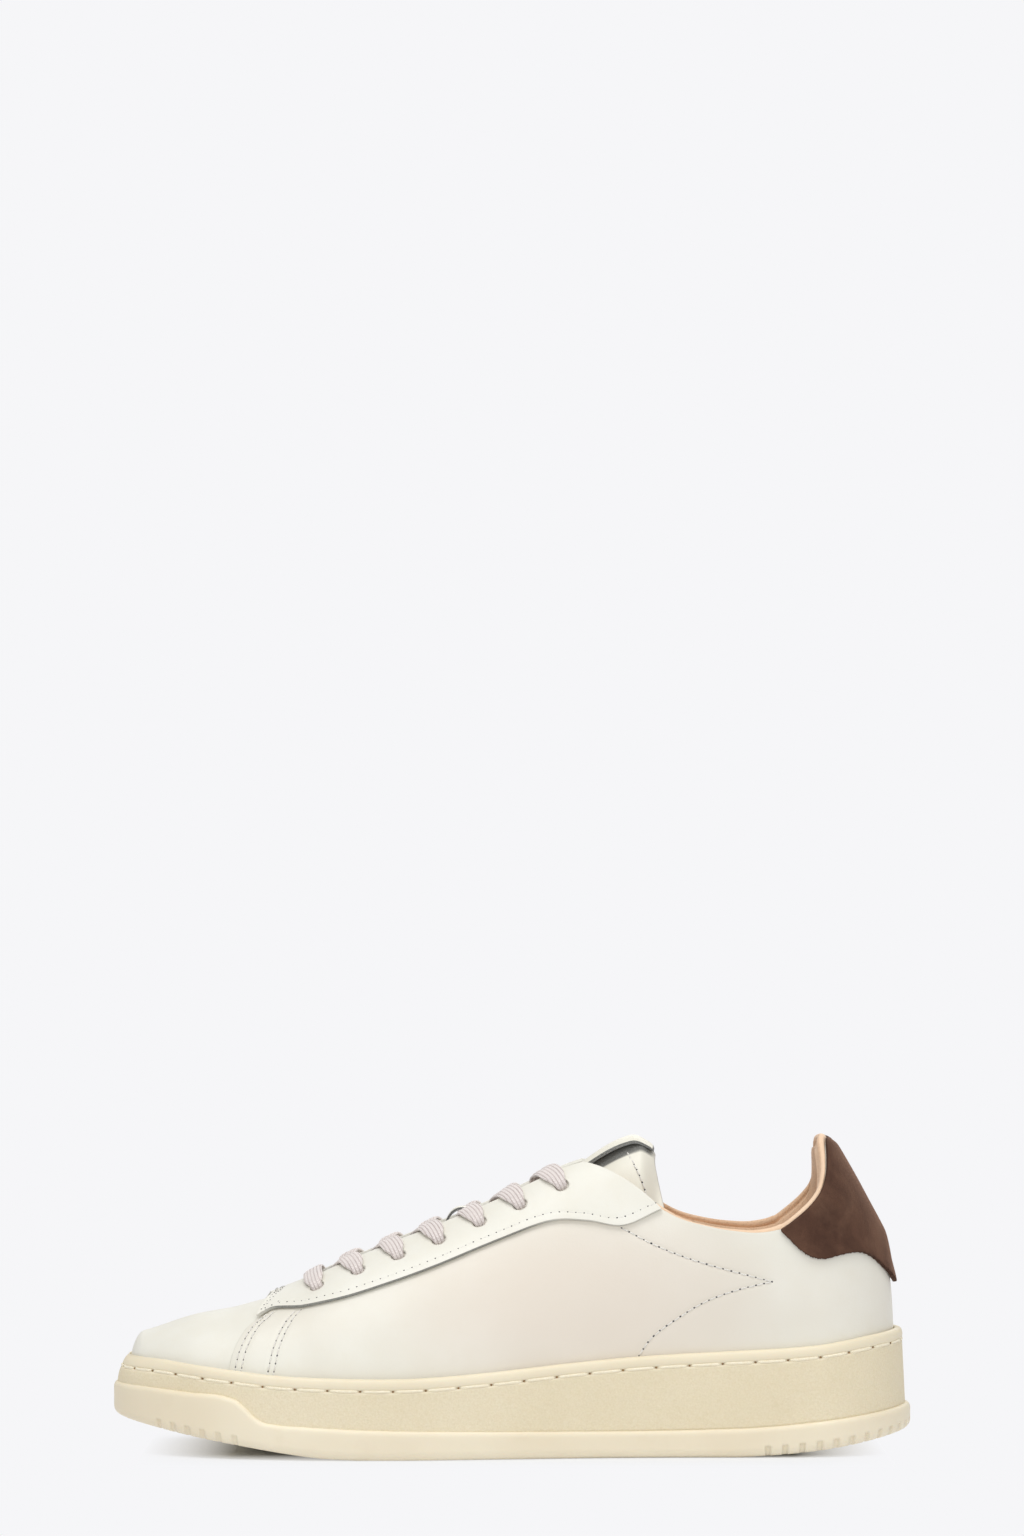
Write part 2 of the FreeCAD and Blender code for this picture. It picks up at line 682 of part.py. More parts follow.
def lining_grid(rows=89, columns=16):
    """Round the heel from one side of the throat to the other."""
    grid, front = [], -40.0
    span = HEEL_BACK - front
    for s in steps(rows):
        w = lerp(-span, span, s)
        u, side = HEEL_BACK - abs(w), (-1 if w < 0 else 1)
        if u <= HEEL_PIVOT_X:
            top = quarter_top(u)
            angles = [top * t for t in steps(columns)]
            grid.append([at_angle(u, a if side < 0 else 180 - a) for a in angles])
        else:
            grid.append(wrap_row(u, side, wrap_feather(u), COLLAR_Z(u) - 0.3, columns))
    return grid


def wrap_of(p):
    if p.x <= HEEL_PIVOT_X:
        return p.x
    return HEEL_PIVOT_X + HEEL_FAN_R * math.atan2(p.x - HEEL_PIVOT_X, abs(p.y))


def collar_lining():
    return bored(sheet(lining_grid(), lambda p: LINING - COLLAR_PAD * pad(wrap_of(p), p.z), LINING_T))


# ---------------------------------------------------------------- the tongue
TONGUE_EDGE = Curve((TONGUE_ROOT_X, 17.5), (-60, 25), (-20, 34), (20, 44), (40, 50), (56, 55))
TONGUE_END_X = Curve((0, 50.7), (0.5, 51.1), (0.8, 54.3), (1, 56.8))
TONGUE_CROWN = Curve((14, 0), (21, 0.7), (29, 1.3), (38, 2.5), (46, 2.85), (60, 2.85))
TONGUE_CURL = 11.6
TONGUE_SKIN, TONGUE_FOAM_T = 1.0, 3.6


def tongue_grid(margin=0.0, short=0.0, rows=36, columns=13):
    """The tongue spans TONGUE_EDGE degrees to either side of the ridge."""
    grid = []
    for s in steps(rows):
        row = []
        for t in steps(columns):
            across = 2 * t - 1
            end = TONGUE_END_X(abs(across)) - margin - short
            x = lerp(TONGUE_ROOT_X + margin, end, s)
            row.append(at_angle(x, 90 + across * (TONGUE_EDGE(x) - 1.4 * margin)))
        grid.append(row)
    return grid


def tongue_face(p):
    """Outer face of the tongue: crowned under its label, then curling down to its top edge."""
    across = (90 - angle_at_y(p.x, abs(p.y), p.y)) / TONGUE_EDGE(p.x)
    middle = max(0.0, 1 - across * across)
    curl = TONGUE_CURL * smooth(45.8, 54, p.x) * (0.3 + 0.7 * middle)
    return TONGUE + max(0.0, TONGUE_CROWN(p.x)) * middle - curl


def tongue_layer(margin, depth, thick, short=0.0):
    return sheet(tongue_grid(margin, short), lambda p: tongue_face(p) - depth, thick)


def tongue_leather():
    return tongue_layer(0, 0, TONGUE_SKIN)


def tongue_foam():
    # the padding stops before the curl at the top
    return tongue_layer(2.5, TONGUE_SKIN + GAP, TONGUE_FOAM_T, 9.0)


def tongue_lining():
    return tongue_layer(0, TONGUE_SKIN + TONGUE_FOAM_T + 2 * GAP, 0.8)


def strap(x0, x1, half, rise, thick, bow):
    """Leather strap along X over the tongue, sewn down at both ends and bowed up between."""
    top, low = [], []
    for s in steps(17):
        x = lerp(x0, x1, s)
        arch = math.sin(math.pi * s) ** bow
        rows = ([], [])
        for across in (-1, -0.5, 0, 0.5, 1):
            p = at_angle(x, 90)
            edge = 90 - angle_at_y(x, half, -1 if across <= 0 else 1)
            base = at_angle(x, 90 + across * edge)
            base = off(base, tongue_face(base))
            lift = GAP + rise * arch
            n = normal(p.x, p.y, p.z)
            rows[0].append(base + n * (lift + thick))
            rows[1].append(base + n * lift)
        top.append(rows[0])
        low.append(rows[1])
    return slab(top, low)


def tongue_label():
    return strap(20.5, 50.1, 9.5, 2.0, 1.3, 0.46)


def lace_keeper():
    return strap(-28.5, -12.5, 4.8, 9.4, 1.1, 0.6)


# ---------------------------------------------------------------- the lace
ABOVE = FORM_FACING + LEATHER + 0.3 + LACE_T / 2
UNDER = LINING - LINING_T - 0.25 - LACE_T / 2
KEPT_CROSSING = 3                      # this crossing runs lower, under the keeper


def ribbon(path, width):
    """Flat ribbon through (point, up) pairs."""
    top, low = [], []
    for k, (p, up) in enumerate(path):
        before, after = path[max(k - 1, 0)][0], path[min(k + 1, len(path) - 1)][0]
        across = (after - before).normalize().cross(up).normalize()
        w = width(k / (len(path) - 1)) / 2
        row = [(c, LACE_T / 2 * (1 - 0.35 * c * c)) for c in (-1, -0.5, 0, 0.5, 1)]
        top.append([p + across * (c * w) + up * h for c, h in row])
        low.append([p + across * (c * w) - up * h for c, h in row])
    return slab(top, low)


def crossing(i, side):
    """From under the facing at eyelet i on one side, over the other side's edge, to eyelet i + 1."""
    xs = eyelet_xs()
    a, _ = eyelet(xs[i], side)
    b, _ = eyelet(xs[i + 1], -side)
    middle = (-3.3, -5.3) if i == KEPT_CROSSING else (-1.2, -3.9)
    middle = middle[0] if side > 0 else middle[1]
    rise = Curve((-1, UNDER), (-0.85, UNDER), (0, middle), (0.55, middle + 1.6), (0.85, ABOVE), (1, ABOVE))
    path = []
    for t in steps(28):
        x = lerp(a.x, b.x, t)
        y = lerp(a.y, b.y, t)
        s = -1 if y <= 0 else 1
        angle = angle_at_y(x, abs(y), s)
        p = at_angle(x, angle if s < 0 else 180 - angle)
        way = min(1.0, max(-1.0, -side * y / THROAT_HALF(x)))
        path.append((off(p, rise(way)), normal(p.x, p.y, p.z)))
    return ribbon(path, lambda t: LACE_W * (1 - 0.35 * smooth(0.85, 1, t) - 0.35 * smooth(0.15, 0, t)))


def front_bar():
    x = eyelet_xs()[0]
    a, _ = eyelet(x, -1)
    path = []
    for t in steps(15):
        y = lerp(a.y, -a.y, t)
        s = -1 if y <= 0 else 1
        angle = angle_at_y(x, abs(y), s)
        p = at_angle(x, angle if s < 0 else 180 - angle)
        path.append((off(p, ABOVE), normal(p.x, p.y, p.z)))
    return ribbon(path, lambda t: LACE_W * (1 - 0.35 * smooth(0.85, 1, t) - 0.35 * smooth(0.15, 0, t)))


def plugs():
    """The lace gathered inside each eyelet."""
    out = []
    for side in (-1, 1):
        for x in eyelet_xs():
            p, n = eyelet(x, side)
            start, end = p + n * (UNDER - LACE_T / 2), p + n * (ABOVE + LACE_T / 2)
            out.append(Part.makeCylinder(1.9, (end - start).Length, start, n))
    return out


TAIL = ((18.0, 98.0), (25.0, 88.0), (31.0, 76.0), (34.5, 66.0), (36.0, 60.0))
AGLET_LOW_Z, AGLET_R = 44.5, 1.5


def tail(side):
    """Loose end of the lace, tucked down inside the shoe."""
    p0, n0 = eyelet(eyelet_xs()[-1], side)
    path = [(off(p0, UNDER), n0)]
    for x, z in TAIL[1:]:
        p = at_angle(x, angle_of(x, z) if side < 0 else 180 - angle_of(x, z))
        path.append((off(p, UNDER), normal(p.x, p.y, p.z)))
    return ribbon(path, lambda t: lerp(4.8, 3.0, t))


def aglet(side):
    x, z = TAIL[-1]
    ends = []
    for height, at in ((z - 0.8, x + 0.2), (AGLET_LOW_Z, x + 3)):
        p = at_angle(at, angle_of(at, height) if side < 0 else 180 - angle_of(at, height))
        ends.append(off(p, LINING - LINING_T - 0.6 - AGLET_R))
    way = ends[1] - ends[0]
    return Part.makeCylinder(AGLET_R, way.Length, ends[0], way)


def lace():
    parts = [front_bar()] + [crossing(i, s) for i in range(EYELETS - 1) for s in (-1, 1)]
    return Part.makeCompound(parts + plugs() + [tail(-1), tail(1)])


PIECES = {
    "outsole": outsole,
    "cup_sole": cup_sole,
    "midsole_core": midsole_core,
    "sidewall_thread": sidewall_thread,
    "lasting_board": lasting_board,
    "footbed_foam": lambda: footbed_layer(lambda x: 0.1, footbed_t),
    "footbed_cover": lambda: footbed_layer(lambda x: footbed_t(x) + 0.1, lambda x: footbed_t(x) + 0.9),
    "vamp": vamp,
    "lateral_quarter": lambda: quarter(-1),
    "medial_quarter": lambda: quarter(1),
    "lateral_reinforcement": lambda: reinforcement(-1),
    "medial_reinforcement": lambda: reinforcement(1),
    "lateral_eyelet_tape": lambda: eyelet_tape(-1),
    "medial_eyelet_tape": lambda: eyelet_tape(1),
    "lace_facing": lace_facing,
    "heel_patch": heel_patch,
    "toe_puff": toe_puff,
    "heel_counter": heel_counter,
    "vamp_lining": vamp_lining,
    "collar_foam": collar_foam,
    "collar_lining": collar_lining,
    "tongue_leather": tongue_leather,
    "tongue_foam": tongue_foam,
    "tongue_lining": tongue_lining,
    "tongue_label": tongue_label,
    "lace_keeper": lace_keeper,
    "lace": lace,
    "aglets": lambda: Part.makeCompound([aglet(-1), aglet(1)]),
}

os.makedirs("parts", exist_ok=True)
for name, make in PIECES.items():
    shape = make()
    shape.exportStep(f"parts/{name}.step")
    print(f"{name:24s} solids {len(shape.Solids)} valid {shape.isValid()} volume {shape.Volume:.0f}")
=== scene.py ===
import math
import bpy
import numpy as np
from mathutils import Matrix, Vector


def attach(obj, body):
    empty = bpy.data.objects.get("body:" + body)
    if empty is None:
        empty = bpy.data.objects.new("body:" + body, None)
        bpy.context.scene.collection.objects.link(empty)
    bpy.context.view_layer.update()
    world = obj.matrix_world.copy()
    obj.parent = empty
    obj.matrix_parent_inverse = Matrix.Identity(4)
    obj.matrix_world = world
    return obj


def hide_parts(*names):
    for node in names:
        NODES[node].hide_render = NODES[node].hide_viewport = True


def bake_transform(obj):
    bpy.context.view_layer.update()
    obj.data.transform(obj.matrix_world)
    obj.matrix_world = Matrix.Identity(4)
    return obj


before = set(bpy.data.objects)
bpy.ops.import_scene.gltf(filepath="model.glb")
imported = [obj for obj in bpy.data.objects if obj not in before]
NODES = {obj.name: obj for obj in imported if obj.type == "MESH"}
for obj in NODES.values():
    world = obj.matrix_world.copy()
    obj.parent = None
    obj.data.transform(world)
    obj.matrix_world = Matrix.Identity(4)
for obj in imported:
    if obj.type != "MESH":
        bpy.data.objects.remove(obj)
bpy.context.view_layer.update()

# ================================================================ the form, in millimetres
# Every sheet of the upper is placed by its distance from the form.
TOE_X, HEEL_X = -144.6, 143.5
RUBBER_WALL, STEP_INSET, LIP_INSET = 6.2, 1.5, 3.3
LEATHER, GAP = 1.3, 0.25
LINING, LINING_T, TONGUE = -4.65, 0.8, -7.75
COLLAR_PAD = 4.5
PIVOT_X, FAN_R = 100.0, 33.0
HEEL_BACK = PIVOT_X + FAN_R * math.pi / 2
EYELET_XS = [-73.0, -57.7, -42.6, -27.5, -12.3, 2.9, 18.4]


class Curve:
    """Smooth curve through a few points, straight beyond its ends."""

    def __init__(self, *points):
        self.x, self.y = np.array(points, float).T
        h = np.diff(self.x)
        d = np.diff(self.y) / h
        self.m = np.concatenate([d[:1], (d[:-1] * h[1:] + d[1:] * h[:-1]) / (h[:-1] + h[1:]), d[-1:]])

    def __call__(self, x):
        x = np.asarray(x, float)
        i = np.clip(np.searchsorted(self.x, x, side="right") - 1, 0, len(self.x) - 2)
        h = self.x[i + 1] - self.x[i]
        b = np.clip((x - self.x[i]) / h, 0, 1)
        a = 1 - b
        y = a * a * (1 + 2 * b) * self.y[i] + b * b * (3 - 2 * b) * self.y[i + 1]
        y = y + h * a * b * (a * self.m[i] - b * self.m[i + 1])
        return y + self.m[0] * np.minimum(x - self.x[0], 0) + self.m[-1] * np.maximum(x - self.x[-1], 0)


HALF_LATERAL = Curve((-145, 36), (-123, 38.8), (-100, 42.3), (-70, 46.8), (-40, 47.3), (-10, 43.5),
                     (25, 38.3), (60, 35.6), (95, 35), (120, 33), (144, 31))
HALF_MEDIAL = Curve((-145, 38), (-125, 40.5), (-100, 43.5), (-65, 45.5), (-35, 43.5), (0, 37.5),
                    (30, 33.8), (60, 32.6), (95, 33.5), (120, 32.3), (144, 31))
RIDGE = Curve((-145, 41.6), (-133, 46), (-124, 49), (-115, 51.5), (-106, 53.9), (-97, 56.3),
              (-88, 58.6), (-79, 61.9), (-70, 66.5), (-56, 72.6), (-42, 78.5), (-28, 84.4),
              (-6, 94.5), (8, 102.2), (26, 111.6), (45, 119.5), (65, 126), (85, 130.5),
              (100, 130.3), (108, 127.5), (114, 122.8), (119, 116.6), (124, 108.6), (134, 90.5),
              (144, 71.5))
FEATHER_Z = Curve((-145, 23.5), (-130, 21), (-110, 18), (-88, 15.8), (-65, 14.6), (-40, 15),
                  (-10, 17.5), (20, 21), (50, 24.5), (80, 27.5), (110, 29), (144, 30))
FULLNESS = Curve((-145, 2.6), (-100, 2.5), (-60, 2.1), (0, 2.05), (30, 2.2), (60, 2.6), (95, 3.0),
                 (144, 3.1))
SQUARENESS = 2.15
LIP_Z = Curve((-150, 35.5), (-133, 35.2), (-120, 33.9), (-105, 32.4), (-88, 30.7), (-68, 29.9),
              (-37, 29.8), (-8, 31.8), (21, 34.8), (48, 37.2), (77, 38.8), (115, 41.2),
              (137, 44.2), (150, 45.6))
STEP_Z = Curve((-151, 25.3), (-138, 25.1), (-121, 23.9), (-106.5, 22.8), (-102.4, 21.4), (-99, 18.7),
               (-96, 15.8), (-93, 13.9), (-88.5, 13.0), (-78, 12.3), (-58, 11.3), (-27, 10.6),
               (10, 10.1), (40, 9.9), (70, 10.3), (93, 11.2), (115, 13.2), (130, 14.9), (151, 17.5))
FLAT_FROM, FLAT_TO = -58.0, 84.0
TOE_SPRING = Curve((-160, 14.6), (-135, 10.3), (-115, 6.9), (-100, 4.6), (-86, 2.4), (-72, 0.7),
                   (FLAT_FROM, 0))
HEEL_SPRING = Curve((FLAT_TO, 0), (100, 0.9), (115, 2.4), (130, 4.6), (160, 9.8))
COLLAR_Z = Curve((20, 111), (26.5, 107), (39.3, 100.6), (50, 94.2), (55, 91.1), (60.4, 88.2),
                 (72.5, 84.6), (82.6, 82.9), (92, 82.4), (99.2, 83.8), (105.9, 88.0), (112, 92.9),
                 (116.4, 97.5), (120.2, 103.2), (123.8, 109), (128.5, 114), (133, 116.2),
                 (140, 117.1), (HEEL_BACK, 117.4))
SEAM_X = Curve((0, -107.5), (19, -105.6), (32, -103.8), (41.5, -101.5), (48.6, -99.2),
               (55.3, -95.5), (71.4, -88.3), (90, -85.5))
THROAT_HALF = Curve((-78, 9), (-40, 9.5), (0, 11.5), (26.5, 13.2))
PATCH_Z = Curve((99.4, 83.2), (102, 80.8), (106, 76.8), (110.5, 73.8), (114.2, 73), (120.5, 74.3),
                (124.6, 75), (129.3, 74.9), (134, 73.1), (138, 70.3), (141.5, 67.4), (146.5, 64),
                (HEEL_BACK, 62.3))
FACING_EDGE_Z = Curve((-95.5, 51.5), (-89.4, 53.4), (-82.2, 53.9), (-72.2, 55.6), (-65.3, 57.4),
                      (-45, 63.8), (-28.5, 69.8), (-12.6, 76.4), (0.5, 81.7), (14.2, 86.4),
                      (19.6, 87.6), (27.6, 86.6), (36, 85), (41, 85.1), (47.8, 86.8),
                      (55.1, 91.2))
FOAM_BOTTOM_Z = Curve((58, 58), (90, 60), (HEEL_BACK, 78))
TONGUE_EDGE = Curve((-81, 17.5), (-60, 25), (-20, 34), (20, 44), (40, 50), (56, 55))
TONGUE_END_X = Curve((0, 49.9), (0.5, 51.0), (0.8, 53.9), (1, 56.8))
TONGUE_CROWN = Curve((14, 0), (21, 0.7), (29, 1.3), (38, 2.5), (46, 2.85), (60, 2.85))
EYELET_DROP = Curve((-74.3, 14.5), (-43.4, 14.5), (-28, 13.5), (-12.5, 11.3), (3, 11), (18.4, 9.8))


def lerp(a, b, t):
    return a + (b - a) * t


def smooth(a, b, x):
    """0 before a, 1 after b, smooth between."""
    t = np.clip((np.asarray(x, float) - a) / (b - a), 0, 1)
    return t * t * (3 - 2 * t)


def bottom_z(x):
    x = np.asarray(x, float)
    return np.where(x < FLAT_FROM, TOE_SPRING(x), np.where(x > FLAT_TO, HEEL_SPRING(x), 0.0))


def closing(x, end, reach, power):
    t = np.clip(np.abs(x - end) / reach, 0, 1)
    return np.maximum(0, 1 - (1 - t) ** 2) ** power


def half_width(x, side):
    x = np.asarray(x, float)
    wide = np.where(np.asarray(side) < 0, HALF_LATERAL(x), HALF_MEDIAL(x))
    wide = wide * closing(x, TOE_X, 50, 0.5) * closing(x, HEEL_X, 30, 0.5)
    return np.where((x > TOE_X) & (x < HEEL_X), wide, 0.0)


def ridge_z(x):
    low = FEATHER_Z(x)
    return low + (RIDGE(x) - low) * closing(x, TOE_X, 5, 0.36) * closing(x, HEEL_X, 5, 0.4)


def section_y(x, z, side):
    low, top = FEATHER_Z(x), ridge_z(x)
    r = np.clip((z - low) / np.maximum(top - low, 1e-6), 0, 1)
    return half_width(x, side) * (1 - r ** FULLNESS(x)) ** (1 / SQUARENESS)


def field(x, y, z):
    low = FEATHER_Z(x)
    top, half = np.maximum(ridge_z(x), low + 1e-3), np.maximum(half_width(x, y), 1e-3)
    r = np.maximum(0, (z - low) / (top - low))
    return (np.abs(y) / half) ** SQUARENESS + r ** FULLNESS(x) - 1


def unit(v):
    return v / np.maximum(np.linalg.norm(v, axis=-1, keepdims=True), 1e-12)


def normal(p, e=0.02):
    """Unit normal of the form."""
    x = np.clip(p[..., 0], TOE_X + 0.03, HEEL_X - 0.03)
    y, z = p[..., 1], np.maximum(p[..., 2], FEATHER_Z(x) + 3)
    return unit(np.stack([field(x + e, y, z) - field(x - e, y, z), field(x, y + e, z) - field(x, y - e, z),
                          field(x, y, z + e) - field(x, y, z - e)], -1))


def off(p, d):
    """Points of the form moved by d along its normal."""
    return p + normal(p) * np.broadcast_to(np.asarray(d, float), p.shape[:-1])[..., None]


def angle_of(x, z):
    """Section angle in degrees, 0 at the feather line and 90 at the ridge."""
    r = np.clip((z - FEATHER_Z(x)) / (ridge_z(x) - FEATHER_Z(x)), 0, 1)
    return np.degrees(np.arcsin(r ** (FULLNESS(x) / 2)))


def angle_at_y(x, y, side):
    r = np.clip(y / np.maximum(half_width(x, side), 1e-6), 0, 1)
    return np.degrees(np.arccos(r ** (SQUARENESS / 2)))


def at_angle(x, angle):
    """Point of the form in the section at x. 0 is the lateral feather, 180 the medial one."""
    x, angle = np.broadcast_arrays(np.asarray(x, float), np.asarray(angle, float))
    side = np.where(angle < 90, -1.0, 1.0)
    a = np.radians(np.where(angle < 90, angle, 180 - angle))
    low = FEATHER_Z(x)
    z = low + (ridge_z(x) - low) * np.maximum(0, np.sin(a)) ** (2 / FULLNESS(x))
    return np.stack([x, side * half_width(x, side) * np.maximum(0, np.cos(a)) ** (2 / SQUARENESS), z], -1)


def on_side(x, angle, side):
    return at_angle(x, angle if side < 0 else 180 - angle)


def at_wrap(u, z, side):
    """Point at height z and wrap distance u: x itself up to the heel pivot, then round the heel."""
    u, z = np.broadcast_arrays(np.asarray(u, float), np.asarray(z, float))
    turn = np.clip((u - PIVOT_X) / FAN_R, 0, math.pi / 2 - 1e-4)
    near, far = np.zeros(u.shape), np.full(u.shape, 60.0)
    for _ in range(34):
        mid = (near + far) / 2
        out = mid * np.cos(turn) > section_y(PIVOT_X + mid * np.sin(turn), z, side)
        near, far = np.where(out, near, mid), np.where(out, mid, far)
    round_heel = np.stack([PIVOT_X + near * np.sin(turn), side * near * np.cos(turn), z], -1)
    straight = np.stack([u, side * section_y(u, z, side), z], -1)
    return np.where((u <= PIVOT_X)[..., None], straight, round_heel)


def throat_angle(x):
    return angle_at_y(x, THROAT_HALF(x), -1)


def quarter_top(x):
    throat, collar = throat_angle(np.maximum(x, -78)) - 4, angle_of(x, COLLAR_Z(np.maximum(x, 20)))
    return -2.5 * np.log(np.exp(-throat / 2.5) + np.exp(-collar / 2.5))


def rib(u, side, f):
    """Points up one rib of the quarter at wrap distance u: f is 0 at the feather line, 1 at the top edge."""
    u, f = np.broadcast_arrays(np.asarray(u, float), np.asarray(f, float))
    top = quarter_top(np.minimum(u, PIVOT_X)) * f
    front = on_side(np.minimum(u, PIVOT_X), top, side)
    base, crown = FEATHER_Z(np.minimum(u, HEEL_X)), RIDGE(np.minimum(u, PIVOT_X))
    end = np.arcsin(np.clip((COLLAR_Z(np.maximum(u, 60)) - 0.3 - base) / (crown - base), 0, 1) ** 1.5)
    z = base + (crown - base) * np.maximum(0, np.sin(end * f)) ** (2 / 3)
    back = at_wrap(np.maximum(u, PIVOT_X), z, side)
    return np.where((u <= PIVOT_X)[..., None], front, back)


def pad(u, z):
    v = np.clip((z - FOAM_BOTTOM_Z(u)) / (COLLAR_Z(u) - FOAM_BOTTOM_Z(u)), 0, 1)
    return np.sin(math.pi * v) ** 0.9 * smooth(58, 84, u)


def run_along(line):
    """Distance from a line's first point to each of its points."""
    return np.concatenate([[0], np.cumsum(np.linalg.norm(np.diff(line, axis=0), axis=-1))])


def seen(side, pairs, n=60):
    """Line over the form through (x, z) pairs, n points."""
    pairs = np.array(pairs, float)
    run = run_along(pairs)
    t = np.linspace(0, run[-1], n)
    x = Curve(*zip(run, pairs[:, 0]))(t)
    z = Curve(*zip(run, pairs[:, 1]))(t)
    return np.stack([x, side * section_y(x, z, side), z], -1)


def seen_on(side, pairs, level, n=60):
    """Form points under a line of (x, z) pairs drawn on a sheet that lies at level(point) from the form."""
    goal = np.array(pairs, float)
    aim = goal.copy()
    for _ in range(14):
        p = np.stack([aim[:, 0], side * section_y(aim[:, 0], aim[:, 1], side), aim[:, 1]], -1)
        aim = aim + 0.7 * (goal - off(p, level(p))[:, [0, 2]])
        aim[:, 1] = np.minimum(aim[:, 1], ridge_z(aim[:, 0]) - 0.05)
    return seen(side, aim, n)


def waves(p, size, seed, octaves=2):
    """Smooth seeded waviness, about -1 to 1, with features about size mm across."""
    rng = np.random.default_rng(seed)
    total, weight = 0.0, 1.0
    for octave in range(octaves):
        for _ in range(5):
            k = unit(rng.normal(size=3)) * 2 * math.pi / (size * rng.uniform(0.7, 1.4)) * 2 ** octave
            total = total + weight * np.sin(p @ k + rng.uniform(0, 6.28))
        weight *= 0.5
    return total / 4.0


def near_lines(p, lines):
    """Distance in mm from each point to the nearest of the lines' points."""
    flat = p.reshape(-1, 3)
    cloud = np.concatenate(lines)
    best = np.full(len(flat), 1e9)
    for k in range(0, len(cloud), 40):
        d = ((flat[:, None] - cloud[None, k:k + 40]) ** 2).sum(-1).min(1)
        best = np.minimum(best, d)
    return np.sqrt(best).reshape(p.shape[:-1])


# ================================================================ turning points into objects
def add_object(name, verts, faces, mats, which=None, data=None, smooth_all=True):
    """Mesh object from points in mm. faces is a list of index arrays, which their material numbers."""
    faces = [np.asarray(f, int) for f in faces]
    if which is None:
        which = [0] * len(faces)
    flip = 0.0
    for f in faces:
        a, b, c = verts[f[:, 0]], verts[f[:, 1]], verts[f[:, 2]]
        flip += np.einsum("ij,ij->", a, np.cross(b, c))
        if f.shape[1] == 4:
            d = verts[f[:, 3]]
            flip += np.einsum("ij,ij->", a, np.cross(c, d))
    if flip < 0:
        faces = [f[:, ::-1] for f in faces]
    mesh = bpy.data.meshes.new(name)
    mesh.from_pydata((verts * 0.001).tolist(), [], [row for f in faces for row in f.tolist()])
    for m in mats:
        mesh.materials.append(m)
    numbers = np.concatenate([np.broadcast_to(w, len(f)) for f, w in zip(faces, which)])
    mesh.polygons.foreach_set("material_index", numbers.astype(np.int32))
    mesh.polygons.foreach_set("use_smooth", np.full(len(mesh.polygons), smooth_all))
    for key, values in (data or {}).items():
        values = np.asarray(values, np.float32)
        if values.ndim == 1:
            mesh.attributes.new(key, "FLOAT", "POINT").data.foreach_set("value", values)
        else:
            mesh.attributes.new(key, "FLOAT_VECTOR", "POINT").data.foreach_set("vector", values.ravel())
    mesh.update()
    obj = bpy.data.objects.new(name, mesh)
    bpy.context.scene.collection.objects.link(obj)
    return obj


def settle(obj, body, slot, *nodes):
    """Piece rides on a body and stands for CAD nodes. slot is not used."""
    if body:
        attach(obj, body)
    if nodes:
        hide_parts(*nodes)
    return obj


def grid_faces(rows, columns, start=0, closed=False):
    """Quads of a rows x columns grid; closed joins the last column to the first."""
    i, j = np.meshgrid(np.arange(rows - 1), np.arange(columns if closed else columns - 1), indexing="ij")
    i, j = i.ravel(), j.ravel()
    k = (j + 1) % columns
    here, there = i * columns, (i + 1) * columns
    return start + np.stack([here + j, there + j, there + k, here + k], -1)


def skin(top, low, rim=4, bulge=0.3, square=0.6, split=0.0):
    """Closed sheet between two grids with a rounded rim. split cuts a fine line round the rim's middle.
    Returns points, faces and their numbers (0 top, 1 rim, 2 underside)."""
    rows, columns = top.shape[:2]
    index = np.arange(rows * columns).reshape(rows, columns)
    loop = np.concatenate([index[0, :-1], index[:-1, -1], index[-1, :0:-1], index[:0:-1, 0]])
    i, j = loop // columns, loop % columns
    inside = np.clip(i, 1, rows - 2) * columns + np.clip(j, 1, columns - 2)
    t, l = top.reshape(-1, 3), low.reshape(-1, 3)
    away = unit(unit(t[loop] - t[inside]) + unit(l[loop] - l[inside]))
    rings = []
    for k in range(1, rim + 1):
        a = math.pi * k / (rim + 1)
        push = bulge * math.sin(a) ** square
        if split and rim % 2 and k == (rim + 1) // 2:
            push -= split
        rings.append(t[loop] * (1 + math.cos(a)) / 2 + l[loop] * (1 - math.cos(a)) / 2 + away * push)
    verts = np.concatenate([t, l] + rings)
    count, base = len(loop), 2 * rows * columns
    chain = [loop] + [base + k * count + np.arange(count) for k in range(rim)] + [rows * columns + loop]
    sides = [np.stack([a, np.roll(a, -1), np.roll(b, -1), b], -1) for a, b in zip(chain, chain[1:])]
    topf = grid_faces(rows, columns)
    # the top grid's own winding is opposite to the rim's
    return verts, [topf, np.concatenate(sides), grid_faces(rows, columns, rows * columns)[:, ::-1]], [0, 1, 2]


